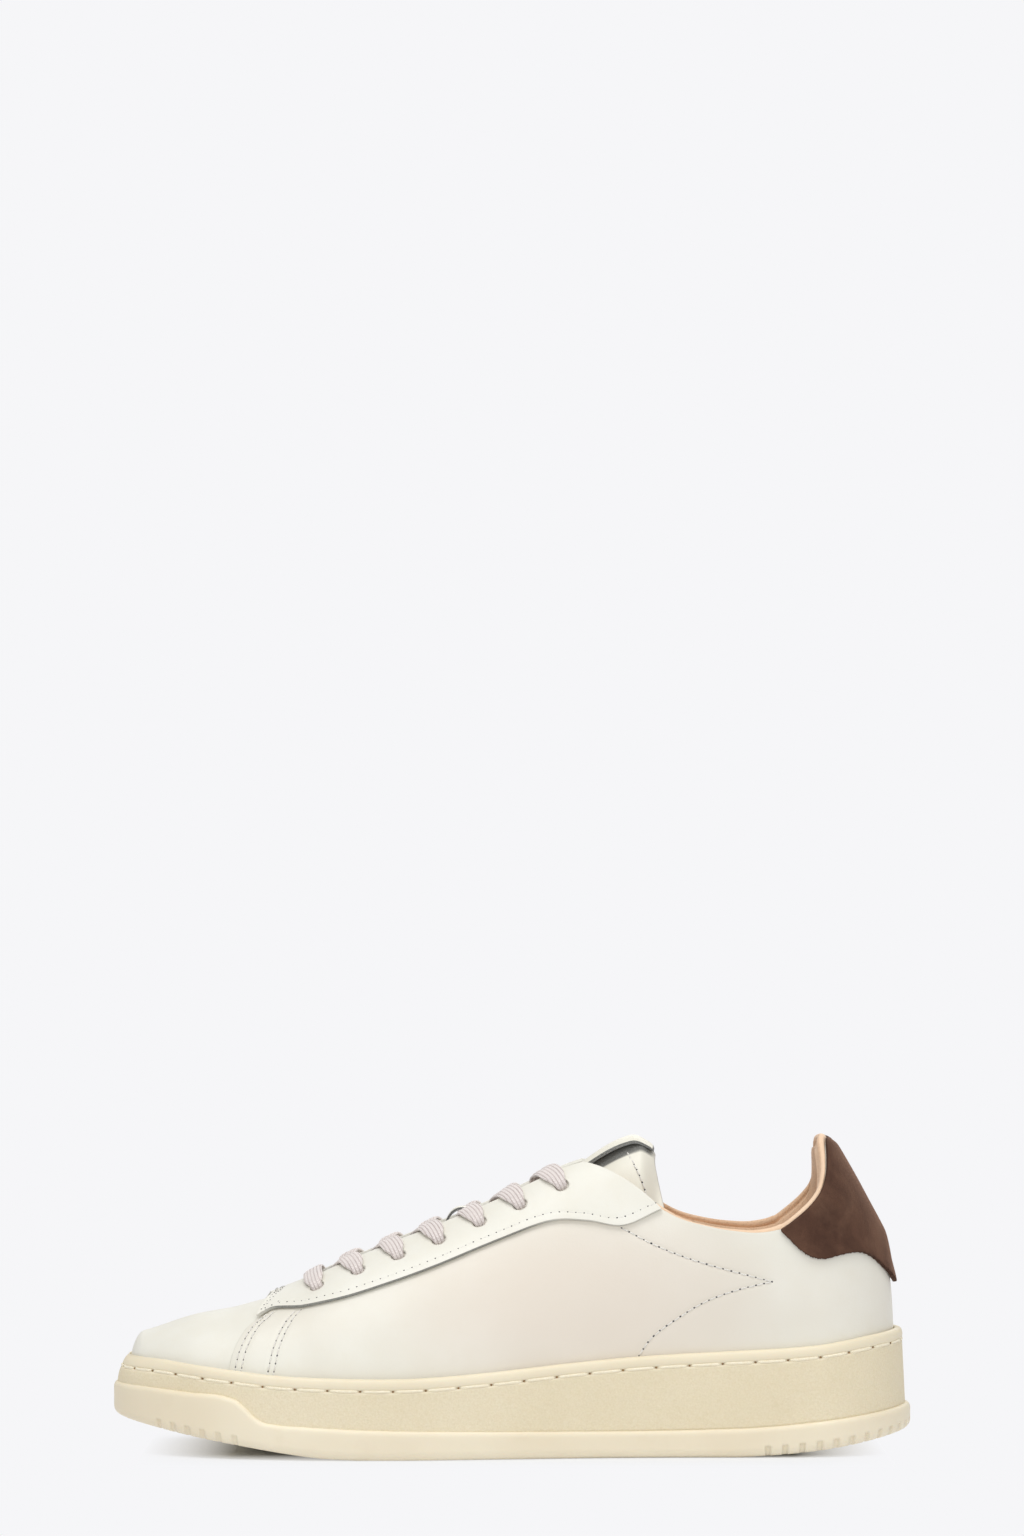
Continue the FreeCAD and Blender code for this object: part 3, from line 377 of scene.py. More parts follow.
def tubes(paths, ups, half_w, half_t, sides=8, power=2.0, ridges=0.0, ridge_count=6):
    """Closed tubes along paths (n, m, 3). half_w and half_t are half width and thickness (m,) or (n, m).
    Returns points, faces and (along, across, edge) in mm for each point."""
    n, m = paths.shape[:2]
    way = np.empty_like(paths)
    way[:, 1:-1] = paths[:, 2:] - paths[:, :-2]
    way[:, 0], way[:, -1] = paths[:, 1] - paths[:, 0], paths[:, -1] - paths[:, -2]
    way = unit(way)
    across = unit(np.cross(way, ups))
    up = np.cross(across, way)
    a = np.linspace(0, 2 * math.pi, sides, endpoint=False) + math.pi / sides
    c = np.sign(np.cos(a)) * np.abs(np.cos(a)) ** (2 / power)
    s = np.sign(np.sin(a)) * np.abs(np.sin(a)) ** (2 / power)
    half_w, half_t = np.broadcast_to(half_w, (n, m)), np.broadcast_to(half_t, (n, m))
    fold = np.broadcast_to(ridges, (n, m))[..., None] * np.cos(c * math.pi * ridge_count) * np.abs(s) ** 0.5
    wide = half_w[..., None] * c
    high = half_t[..., None] * s + np.sign(s) * fold
    p = paths[:, :, None] + across[:, :, None] * wide[..., None] + up[:, :, None] * high[..., None]
    steps = np.linalg.norm(np.diff(paths, axis=1), axis=-1)
    along = np.concatenate([np.zeros((n, 1)), np.cumsum(steps, 1)], 1)
    data = np.stack([np.broadcast_to(along[..., None], wide.shape), wide,
                     np.broadcast_to(np.abs(c), wide.shape)], -1)
    ends = np.stack([paths[:, 0], paths[:, -1]], 1)
    verts = np.concatenate([p.reshape(n, -1, 3), ends], 1)
    data = np.concatenate([data.reshape(n, -1, 3), np.zeros((n, 2, 3))], 1)
    body = grid_faces(m, sides, closed=True)
    k = np.arange(sides)
    caps = np.concatenate([np.stack([np.full(sides, m * sides), k, (k + 1) % sides], -1),
                           np.stack([np.full(sides, m * sides + 1), (m - 1) * sides + (k + 1) % sides,
                                     (m - 1) * sides + k], -1)])
    shift = (np.arange(n) * (m * sides + 2))[:, None, None]
    return (verts.reshape(-1, 3), [(body[None] + shift).reshape(-1, 4), (caps[None] + shift).reshape(-1, 3)],
            data.reshape(-1, 3))


def join(parts):
    """Joins (points, faces, numbers, data) lists into one mesh."""
    verts, faces, which, data, at = [], [], [], [], 0
    for v, f, w, d in parts:
        verts.append(v)
        faces += [x + at for x in f]
        which += list(w)
        data.append(d)
        at += len(v)
    return np.concatenate(verts), faces, which, np.concatenate(data)


def resample(line, gap, start=0.0, stop=0.0):
    """Points along a line at an even gap."""
    run = run_along(line)
    length = run[-1] - start - stop
    count = max(1, int(round(length / gap)))
    s = start + length * np.arange(count + 1) / count
    return np.stack([np.interp(s, run, line[:, k]) for k in range(3)], -1)


def stitches(lines, height, pitch=3.1, radius=0.24, proud=0.1, hole=0.27, seed=3):
    """Sewn rows over the form: short threads that dive into needle holes, shown as dark discs of painted
    shade.
    height is how far above the form the leather is (number or function of points)."""
    rng = np.random.default_rng(seed)
    starts, ends = [], []
    for line in lines:
        p = resample(line, pitch)
        starts.append(p[:-1])
        ends.append(p[1:])
    a, b = np.concatenate(starts), np.concatenate(ends)
    level = height if callable(height) else (lambda q: np.full(q.shape[:-1], float(height)))
    t = np.linspace(0, 1, 9)
    shape = np.array([-0.42, -0.1, 0.06, 0.12, 0.14, 0.12, 0.06, -0.1, -0.42])
    mid = a[:, None] + (b - a)[:, None] * (0.07 + 0.86 * t)[None, :, None]
    n = normal(mid)
    wobble = rng.normal(0, 0.04, (len(a), 1, 3))
    path = mid + n * (level(mid)[..., None] + (shape + proud)[None, :, None]) + wobble
    thick = radius * np.array([0.6, 0.9, 1, 1, 1, 1, 1, 0.9, 0.6])
    v, f, d = tubes(path, n, thick * 1.15, thick, sides=7)
    # each needle hole is a small dark disc of painted shade
    spots = np.concatenate([a, b[-1:]])
    n = normal(spots)
    along = unit(np.concatenate([b - a, (b - a)[-1:]]))
    side = np.cross(n, along)
    k = np.linspace(0, 2 * math.pi, 8, endpoint=False)
    size = hole * rng.uniform(0.8, 1.2, len(spots))
    lift = level(spots) + 0.035
    flat = (spots + n * lift[:, None])[:, None] + size[:, None, None] * (
        1.25 * np.cos(k)[None, :, None] * along[:, None] + np.sin(k)[None, :, None] * side[:, None])
    crown = (spots + n * (lift + 0.06)[:, None])[:, None]
    foot = (spots + n * (lift - 0.4)[:, None])[:, None]
    hv = np.concatenate([flat, crown, foot], 1).reshape(-1, 3)
    j = np.arange(8)
    fan = np.concatenate([np.stack([j, (j + 1) % 8, np.full(8, 8)], -1),
                          np.stack([(j + 1) % 8, j, np.full(8, 9)], -1)])
    hf = (fan[None] + (np.arange(len(spots)) * 10)[:, None, None]).reshape(-1, 3)
    return join([(v, f, [0, 0], d), (hv, [hf], [1], np.zeros((len(hv), 3)))])


# ================================================================ materials
def srgb(r, g, b):
    return [((c / 255 + 0.055) / 1.055) ** 2.4 if c > 10 else c / 255 / 12.92 for c in (r, g, b)] + [1.0]


class Nodes:
    """Small helper that wires a node material."""

    def __init__(self, name):
        self.mat = bpy.data.materials.new(name)
        self.mat.use_nodes = True
        self.tree = self.mat.node_tree
        self.shader = self.tree.nodes["Principled BSDF"]
        self.where = self.add("ShaderNodeTexCoord").outputs["Object"]

    def add(self, kind, **settings):
        node = self.tree.nodes.new(kind)
        for key, value in settings.items():
            setattr(node, key, value)
        return node

    def put(self, value, socket):
        if isinstance(value, bpy.types.NodeSocket):
            self.tree.links.new(value, socket)
        else:
            socket.default_value = value

    def noise(self, scale, detail=3.0, rough=0.55, vector=None, distortion=0.0):
        node = self.add("ShaderNodeTexNoise")
        self.put(vector or self.where, node.inputs["Vector"])
        node.inputs["Scale"].default_value = scale
        node.inputs["Detail"].default_value = detail
        node.inputs["Roughness"].default_value = rough
        node.inputs["Distortion"].default_value = distortion
        return node.outputs["Fac"]

    def cells(self, scale, feature="F1", vector=None, randomness=1.0):
        node = self.add("ShaderNodeTexVoronoi", feature=feature)
        self.put(vector or self.where, node.inputs["Vector"])
        node.inputs["Scale"].default_value = scale
        node.inputs["Randomness"].default_value = randomness
        return node.outputs["Distance"]

    def math(self, kind, a, b=0.0, c=0.0):
        node = self.add("ShaderNodeMath", operation=kind)
        for value, socket in zip((a, b, c), node.inputs):
            self.put(value, socket)
        return node.outputs[0]

    def times(self, a, b):
        return self.math("MULTIPLY", a, b)

    def plus(self, a, b):
        return self.math("ADD", a, b)

    def stretch(self, x, y, z, vector=None):
        node = self.add("ShaderNodeVectorMath", operation="MULTIPLY")
        self.put(vector or self.where, node.inputs[0])
        node.inputs[1].default_value = (x, y, z)
        return node.outputs[0]

    def spread(self, value, low, high, out0=0.0, out1=1.0):
        node = self.add("ShaderNodeMapRange")
        names = ("Value", "From Min", "From Max", "To Min", "To Max")
        for v, k in zip((value, low, high, out0, out1), names):
            self.put(v, node.inputs[k])
        return node.outputs["Result"]

    def mix(self, share, a, b, blend="MIX"):
        node = self.add("ShaderNodeMix", data_type="RGBA", blend_type=blend)
        self.put(share, node.inputs["Factor"])
        self.put(a, [s for s in node.inputs if s.name == "A" and s.type == "RGBA"][0])
        self.put(b, [s for s in node.inputs if s.name == "B" and s.type == "RGBA"][0])
        return [s for s in node.outputs if s.type == "RGBA"][0]

    def read(self, name, vector=False):
        node = self.add("ShaderNodeAttribute", attribute_name=name)
        return node.outputs["Vector" if vector else "Fac"]

    def parts(self, vector):
        node = self.add("ShaderNodeSeparateXYZ")
        self.put(vector, node.inputs[0])
        return node.outputs[0], node.outputs[1], node.outputs[2]

    def bump(self, height, depth, strength=1.0, below=None):
        node = self.add("ShaderNodeBump")
        node.inputs["Strength"].default_value = strength
        node.inputs["Distance"].default_value = depth
        self.put(height, node.inputs["Height"])
        if below is not None:
            self.put(below, node.inputs["Normal"])
        return node.outputs[0]

    def finish(self, colour, rough, bumps=None, **more):
        self.put(colour, self.shader.inputs["Base Color"])
        self.put(rough, self.shader.inputs["Roughness"])
        if bumps is not None:
            self.put(bumps, self.shader.inputs["Normal"])
        for key, value in more.items():
            self.put(value, self.shader.inputs[key.replace("_", " ")])
        return self.mat


def leather(name, light=(234, 233, 224), dark=(227, 225, 214), cut_edge_and_painted_shade=None, painted_warm_shade=0.0):
    """Smooth full-grain leather: very fine pebble, faint long wrinkles and pores, soft sheen.
    The last argument is how strongly a painted shade, warmer and darker, is laid over the middle of the
    quarter."""
    m = Nodes(name)
    big = m.noise(22, 2)
    small = m.noise(140, 4)
    colour = m.mix(m.spread(big, 0.35, 0.65), srgb(*light), srgb(*dark))
    colour = m.mix(m.times(m.spread(small, 0.4, 0.75), 0.35), colour, srgb(226, 222, 207))
    # painted shade: the middle of the quarter is mixed towards a warmer, darker tone
    if painted_warm_shade:
        x, _, z = m.parts(m.where)
        dx, dz = m.spread(x, -0.05, 0.1, -1.0, 1.0), m.spread(z, 0.022, 0.092, -1.0, 1.0)
        reach = m.plus(m.times(dx, dx), m.times(dz, dz))
        colour = m.mix(m.spread(reach, 0.1, 1.3, painted_warm_shade, 0.0), colour, srgb(222, 211, 197))
    grain = m.cells(1500, "SMOOTH_F1")
    pores = m.spread(m.cells(900), 0.0, 0.16, 1.0, 0.0)
    wrinkle = m.noise(260, 5, 0.6, m.stretch(1, 1, 0.45), 0.4)
    colour = m.mix(m.times(pores, 0.10), colour, srgb(190, 184, 168))
    b = m.bump(grain, 0.00005, 0.5)
    b = m.bump(wrinkle, 0.00012, 0.35, b)
    b = m.bump(m.noise(70, 2), 0.0005, 0.22, b)
    # cut edges take this colour, and so does painted shade in the eyelet holes and under the tongue's label
    if cut_edge_and_painted_shade:
        fibre = m.noise(2600, 3)
        edge = m.mix(m.spread(fibre, 0.35, 0.65), srgb(*cut_edge_and_painted_shade), srgb(*[min(255, c + 38) for c in cut_edge_and_painted_shade]))
        colour = m.mix(m.read("cut_edge_and_painted_shade"), colour, edge)
    rough = m.spread(m.noise(420, 3), 0.3, 0.7, 0.40, 0.54)
    return m.finish(colour, rough, b, Specular_IOR_Level=0.42, Coat_Weight=0.10, Coat_Roughness=0.38,
                    Sheen_Weight=0.05)


def thread_material(name, light, dark, twist=2200):
    m = Nodes(name)
    x, y, _ = m.parts(m.read("lay", True))
    strand = m.math("SINE", m.plus(m.times(x, 9.5), m.times(y, 9.0)))
    fuzz = m.noise(twist, 3)
    share = m.plus(m.times(strand, 0.3), m.spread(fuzz, 0.3, 0.7, 0.1, 0.8))
    colour = m.mix(share, srgb(*dark), srgb(*light))
    b = m.bump(strand, 0.00008, 0.6)
    return m.finish(colour, m.spread(fuzz, 0.3, 0.7, 0.62, 0.85), m.bump(fuzz, 0.00004, 0.6, b),
                    Sheen_Weight=0.2)


# painted shade: the dark colour of a needle hole's shadowed inside
def hole_shade_material(name, colour):
    m = Nodes(name)
    n = m.noise(1800, 2)
    return m.finish(m.mix(m.spread(n, 0.3, 0.7), srgb(*colour), srgb(*[int(c * 0.72) for c in colour])),
                    0.9, m.bump(n, 0.00005, 0.5))


def suede(name):
    """Dark brown nubuck: mottled nap that catches light one way, fine fibres, pale rubbed spots."""
    m = Nodes(name)
    nap = m.noise(95, 5, 0.62, m.stretch(1, 1, 0.6), 0.8)
    fibre = m.noise(2400, 4, 0.7)
    rub = m.noise(34, 3, 0.6, None, 1.2)
    colour = m.mix(m.spread(nap, 0.33, 0.68), srgb(70, 47, 37), srgb(96, 68, 54))
    colour = m.mix(m.times(m.spread(rub, 0.52, 0.75), 0.55), colour, srgb(114, 85, 68))
    colour = m.mix(m.spread(fibre, 0.3, 0.7, 0.0, 0.35), colour, srgb(52, 34, 27))
    colour = m.mix(m.read("cut_edge_and_painted_shade"), colour, srgb(48, 31, 25))
    b = m.bump(fibre, 0.00016, 0.8)
    b = m.bump(m.noise(520, 3), 0.00022, 0.5, b)
    return m.finish(colour, m.spread(nap, 0.3, 0.7, 0.86, 0.97), b, Sheen_Weight=0.45, Sheen_Roughness=0.45,
                    Sheen_Tint=srgb(190, 150, 125), Specular_IOR_Level=0.18)


def felt(name, light, dark, deep, sheen=0.3, tame=1.0):
    """Napped tan lining: short directionless fibres with darker flecks."""
    m = Nodes(name)
    fleck = m.noise(1250, 4, 0.7)
    cloud = m.noise(60, 3)
    fibre = m.noise(3600, 2, 0.6, m.stretch(1, 1, 0.35))
    colour = m.mix(m.spread(cloud, 0.35, 0.65), srgb(*light), srgb(*dark))
    colour = m.mix(m.times(m.spread(fleck, 0.5, 0.72), 0.6 * tame), colour, srgb(*deep))
    colour = m.mix(m.times(m.spread(fibre, 0.55, 0.8), 0.3 * tame), colour, srgb(246, 222, 190))
    b = m.bump(fleck, 0.00025 * tame, 0.6)
    b = m.bump(fibre, 0.0001, 0.5, b)
    return m.finish(colour, m.spread(fleck, 0.3, 0.7, 0.78, 0.94), b, Sheen_Weight=sheen, Sheen_Roughness=0.5,
                    Specular_IOR_Level=0.25)


def woven_lace(name):
    """Flat braided cotton: rows of small V shaped stitches running along the lace."""
    m = Nodes(name)
    along, across, _ = m.parts(m.read("lay", True))
    column = m.math("FRACT", m.plus(m.times(across, 1.0 / 1.36), 100.5))
    fold = m.math("ABSOLUTE", m.math("SUBTRACT", column, 0.5))
    slope = m.plus(m.times(along, 1.0 / 0.72), m.times(fold, 1.5))
    wave = m.math("SINE", m.times(slope, 2 * math.pi))
    groove = m.spread(fold, 0.26, 0.46, 1.0, 0.0)
    cord = m.times(m.plus(m.times(wave, 0.28), 0.72), groove)
    fuzz = m.noise(2100, 3)
    cloud = m.noise(85, 2)
    # painted shade: the grooves between the braid's cords, and the dips between the V rows, are coloured
    # darker
    colour = m.mix(cord, srgb(188, 174, 170), srgb(243, 236, 233))
    colour = m.mix(m.times(m.spread(cloud, 0.4, 0.65), 0.4), colour, srgb(233, 223, 218))
    colour = m.mix(m.spread(fuzz, 0.5, 0.8, 0.0, 0.3), colour, srgb(250, 247, 244))
    b = m.bump(cord, 0.00028, 0.75)
    b = m.bump(fuzz, 0.00006, 0.6, b)
    return m.finish(colour, m.spread(fuzz, 0.3, 0.7, 0.72, 0.92), b, Sheen_Weight=0.35, Sheen_Roughness=0.4,
                    Specular_IOR_Level=0.3)


def rubber(name, light, dark, grain):
    """Moulded rubber, warm cream. The attribute band marks the finely textured wall."""
    m = Nodes(name)
    cloud = m.noise(16, 3)
    speck = m.noise(1500, 3, 0.6)
    band = m.read("band")
    colour = m.mix(m.spread(cloud, 0.35, 0.65), srgb(*light), srgb(*dark))
    colour = m.mix(m.times(band, m.spread(speck, 0.35, 0.7, 0.12, 0.5)), colour, srgb(213, 198, 160))
    dirt = m.spread(m.noise(48, 5, 0.65), 0.56, 0.8, 0.0, 0.16)
    colour = m.mix(dirt, colour, srgb(205, 186, 146))
    skinned = m.plus(m.times(band, 0.85), 0.15)
    b = m.bump(m.times(m.cells(1150, "SMOOTH_F1"), skinned), 0.00022 * grain, 0.6)
    b = m.bump(m.times(speck, skinned), 0.00012 * grain, 0.6, b)
    b = m.bump(m.noise(120, 3), 0.0002, 0.2, b)
    rough = m.plus(m.times(band, 0.14), m.spread(cloud, 0.3, 0.7, 0.44, 0.54))
    return m.finish(colour, rough, b, Specular_IOR_Level=0.38, Subsurface_Weight=0.06,
                    Subsurface_Radius=(0.006, 0.004, 0.002), Subsurface_Scale=0.4)


def plain_weave(name, light, dark, count=900):
    m = Nodes(name)
    x, y, z = m.parts(m.where)
    warp = m.math("SINE", m.times(x, count * 6.28))
    weft = m.math("SINE", m.times(m.plus(y, z), count * 6.28))
    over = m.times(warp, weft)
    colour = m.mix(m.spread(over, -1, 1), srgb(*dark), srgb(*light))
    colour = m.mix(m.spread(m.noise(300, 3), 0.4, 0.7, 0, 0.25), colour, srgb(*dark))
    return m.finish(colour, 0.85, m.bump(over, 0.0001, 0.6), Sheen_Weight=0.2)


def foam(name, light, dark):
    m = Nodes(name)
    bubble = m.cells(700)
    colour = m.mix(m.spread(bubble, 0.1, 0.6), srgb(*dark), srgb(*light))
    return m.finish(colour, m.spread(m.noise(200, 2), 0.3, 0.7, 0.7, 0.9), m.bump(bubble, 0.0002, 0.5))


M_LEATHER = leather("vamp_leather")
# its dark mix colour is painted shade inside the eyelet holes
M_FACING = leather("facing_leather_painted_hole_shade", cut_edge_and_painted_shade=(58, 54, 52))
M_EDGE = leather("leather_cut_edge", cut_edge_and_painted_shade=(118, 119, 114))
# the quarter's leather carries a painted warm shade over its middle
M_QUARTER = leather("quarter_leather_painted_shade", (233, 232, 222), (225, 222, 210), painted_warm_shade=0.8)
M_QEDGE = leather("quarter_cut_edge", (230, 229, 220), (220, 218, 208), cut_edge_and_painted_shade=(190, 190, 182))
M_TONGUE = leather("tongue_leather_skin", (235, 233, 222), (227, 224, 210))
# painted shadow: the tongue leather is darkened where the label strap shades it
M_SHADED = leather("tongue_leather_painted_shadow_under_label", (235, 233, 222), (227, 224, 210), cut_edge_and_painted_shade=(84, 84, 80))
M_TEDGE = leather("tongue_cut_edge", (225, 223, 214), (214, 211, 202), cut_edge_and_painted_shade=(150, 149, 143))
M_GREY_EDGE = leather("strap_cut_edge", cut_edge_and_painted_shade=(98, 99, 97))
M_THREAD = thread_material("sewing_thread", (246, 244, 238), (216, 213, 206))
M_HOLE_SHADE = hole_shade_material("needle_hole_painted_shade", (88, 88, 93))
M_SOLE_THREAD = thread_material("sole_thread_twist", (255, 249, 230), (240, 228, 196), 1500)
# painted shade for the sole's needle holes
M_SOLE_HOLE_SHADE = hole_shade_material("sole_hole_painted_shade", (164, 128, 82))
M_SUEDE = suede("brown_nubuck")
M_ROLL = felt("collar_roll", (240, 211, 182), (233, 201, 170), (216, 180, 147), 0.15, 0.45)
M_FELT = felt("lining_felt", (228, 195, 164), (215, 180, 147), (172, 134, 103), 0.2)
M_LACE = woven_lace("braided_lace")
M_OUTSOLE = rubber("outsole_rubber_skin", (238, 228, 204), (232, 220, 194), 0.35)
M_CUP = rubber("cup_rubber_skin", (236, 226, 201), (230, 219, 192), 1.0)
M_BED = plain_weave("bed_cloth_knit", (222, 186, 146), (190, 150, 108), 700)
M_FOAM = foam("bed_foam_cells", (236, 228, 208), (214, 204, 180))

# ================================================================ the sole
def plan_outline(count=2400):
    """Plan curve of the form and its outward normals, toe tip first, lateral side first."""
    a = 2 * math.pi * np.arange(count) / count
    x = (TOE_X + HEEL_X) / 2 - (HEEL_X - TOE_X) / 2 * np.cos(a)
    side = np.where(a < math.pi, -1.0, 1.0)
    p = np.stack([x, side * half_width(x, side)], -1)
    t = unit(np.roll(p, -4, 0) - np.roll(p, 4, 0))
    return p, np.stack([t[:, 1], -t[:, 0]], -1)


PLAN, PLAN_N = plan_outline()
EDGE_0 = PLAN + PLAN_N * RUBBER_WALL
RUN = run_along(np.concatenate([EDGE_0, EDGE_0[:1]]))
HALF_RUN = RUN[len(PLAN) // 2]


def around(s):
    """Plan point and outward normal at outsole edge distances s from the toe tip."""
    wrap = lambda v: np.concatenate([v, v[:1]])
    p = np.stack([np.interp(s, RUN, wrap(PLAN[:, k])) for k in (0, 1)], -1)
    n = np.stack([np.interp(s, RUN, wrap(PLAN_N[:, k])) for k in (0, 1)], -1)
    return p, unit(n)


def sole_ring(s, inset, z):
    """Ring of points at an inset from the outsole edge. inset and z are numbers, arrays or functions of x."""
    p, n = around(s)
    x = p[:, 0] + n[:, 0] * RUBBER_WALL
    inset = inset(x) if callable(inset) else inset
    z = z(x) if callable(z) else z
    q = p + n * np.broadcast_to(RUBBER_WALL - np.asarray(inset, float), len(s))[:, None]
    return np.concatenate([q, np.broadcast_to(z, len(s))[:, None]], 1)


def to_spine(ring, r, z):
    """Ring drawn in towards the sole's middle line by the share r."""
    x = np.clip(ring[:, 0] * 0.86, -108, 108)
    y = 1.2 * np.sign(ring[:, 1]) * np.minimum(1, np.abs(ring[:, 1]) / 8)
    q = ring.copy()
    q[:, 0], q[:, 1] = lerp(ring[:, 0], x, r), lerp(ring[:, 1], y, r)
    q[:, 2] = z(q[:, 0]) if callable(z) else z
    return q


def half_stations(extra, gap):
    """Distances along half the outline, with more points where notches are."""
    base = np.arange(0, HALF_RUN, gap)
    keep = [b for b in base[1:] if not len(extra) or np.min(np.abs(np.array(extra) - b)) > gap * 0.35]
    return np.unique(np.concatenate([[0.0], keep, extra]))


def stations(extra, gap):
    """The same count on both sides, so that the two halves can be joined across the middle."""
    half = half_stations(extra, gap)
    other = RUN[-1] - half[1:][::-1] / HALF_RUN * (RUN[-1] - HALF_RUN)
    return np.concatenate([half, [HALF_RUN], other])


def ring_mesh(name, rings, mats, data, capped=True):
    """Closed mesh through rings. capped joins the first and last ring across the middle, else the
    rings form a tube."""
    count = len(rings[0])
    verts = np.concatenate(rings)
    faces = [grid_faces(len(rings), count, closed=True)]
    if capped:
        k = np.arange(1, count // 2 - 1)
        strip = np.stack([k, k + 1, count - k - 1, count - k], -1)
        tips = np.array([[0, 1, count - 1], [count // 2 - 1, count // 2, count // 2 + 1]])
        last = (len(rings) - 1) * count
        faces += [strip, tips, strip[:, ::-1] + last, tips[:, ::-1] + last]
    else:
        a, b = np.arange(count), np.roll(np.arange(count), -1)
        last = (len(rings) - 1) * count
        faces.append(np.stack([last + a, a, b, last + b], -1))
    return add_object(name, verts, faces, mats, None, data)


def notch_places():
    """Where the short tread notches sit, as distances from the toe tip, on the lateral half."""
    half = np.linspace(0, HALF_RUN, 4000)
    p, n = around(half)
    x = p[:, 0] + n[:, 0] * RUBBER_WALL
    toe_start, toe_end, heel_start = np.interp([-135.6, -103.0, 94.1], x, half)
    toe_pitch, heel_pitch = 6.5, 6.45
    toe = np.arange(toe_end, toe_start, -toe_pitch)[::-1]
    return np.concatenate([toe, np.arange(heel_start, HALF_RUN - 4, heel_pitch)])


NOTCHES = notch_places()
PIVOT_XS, PIVOT_REACH, PIVOT_PITCH = (-34, 58), 23, 6.0


def build_outsole():
    edges = np.concatenate([NOTCHES + d for d in (-1.15, -0.85, -0.45, 0, 0.45, 0.85, 1.15)])
    s = stations(np.sort(edges), 1.25)
    mirrored = np.where(s > HALF_RUN, (RUN[-1] - s) / (RUN[-1] - HALF_RUN) * HALF_RUN, s)
    near = np.min(np.abs(mirrored[:, None] - NOTCHES[None]), axis=1)
    toe = np.min(np.abs(mirrored[:, None] - NOTCHES[None][:, NOTCHES < HALF_RUN / 2]), axis=1) < 2
    cut = (1 - smooth(0.82, 1.16, near)) * np.where(toe, 0.7, 1.0)
    rings = []

    def ring(inset, z, share=0.0):
        p, n = around(s)
        x = p[:, 0] + n[:, 0] * RUBBER_WALL
        rings.append(sole_ring(s, inset + share * cut, z(x)))

    step, low = (lambda d: lambda x: STEP_Z(x) + d), (lambda d: lambda x: bottom_z(x) + d)
    top_in = sole_ring(s, 4.2, step(-1.0))
    for r in (1.0, 0.66, 0.33):
        rings.append(to_spine(top_in, r, low(4.6)))
    rings.append(sole_ring(s, 4.2, low(4.6)))
    rings.append(top_in)
    for inset, d in ((3.9, -0.25), (2.6, 0.06), (1.95, 0.04), (1.4, -0.02), (0.95, -0.18), (0.56, -0.46),
                     (0.26, -0.88), (0.07, -1.4), (0.0, -2.0)):
        ring(inset, step(d))
    for f in (0.25, 0.5, 0.75):
        ring(0.0, lambda x, f=f: lerp(STEP_Z(x) - 2.0, bottom_z(x) + 4.5, f))
    for inset, d, share in ((0.0, 4.5, 0.0), (0.0, 4.05, 0.0), (0.0, 3.75, 0.35), (0.0, 3.4, 1.0),
                            (0.03, 2.8, 1.3), (0.16, 2.1, 1.35), (0.45, 1.4, 1.4),
                            (0.95, 0.75, 1.4), (1.6, 0.3, 1.3),
                            (2.4, 0.07, 1.1), (3.3, 0.0, 0.6), (4.6, 0.0, 0.0)):
        ring(inset, low(d), share)
    edge = sole_ring(s, 4.6, low(0))
    for r in np.linspace(0.04, 1.0, 40):
        q = to_spine(edge, r, low(0))
        dist = np.min([np.hypot(q[:, 0] - x, q[:, 1] + 1) for x in PIVOT_XS], axis=0)
        circles = 0.5 + 0.5 * np.cos(dist * 2 * math.pi / PIVOT_PITCH + 2.1)
        ribs = 0.5 + 0.5 * np.sin((q[:, 0] + 2.2 * np.abs((q[:, 1] / 9.0) % 2 - 1) * 3) * 2 * math.pi / 7.0)
        pattern = np.where(dist < PIVOT_REACH, circles, ribs)
        q[:, 2] += 0.9 * smooth(0.55, 0.8, pattern) * smooth(0, 0.12, r)
        rings.append(q)
    verts = sum(len(r) for r in rings)
    obj = ring_mesh("outsole_tread", rings, [M_OUTSOLE], {"band": np.zeros(verts)})
    return settle(obj, "shoe", "outsole_rubber", "outsole")


TOE_WALL = Curve((23, -1.0), (26, -0.95), (28.7, -0.55), (32, 0.7), (34, 1.7), (36, 2.5))


def wall_inset(z, x):
    """The cup wall leans back steadily, and bows out then back at the toe."""
    return lerp(STEP_INSET, LIP_INSET, (z - 8.0) / 39.0) + TOE_WALL(z) * smooth(-118, -149, x)


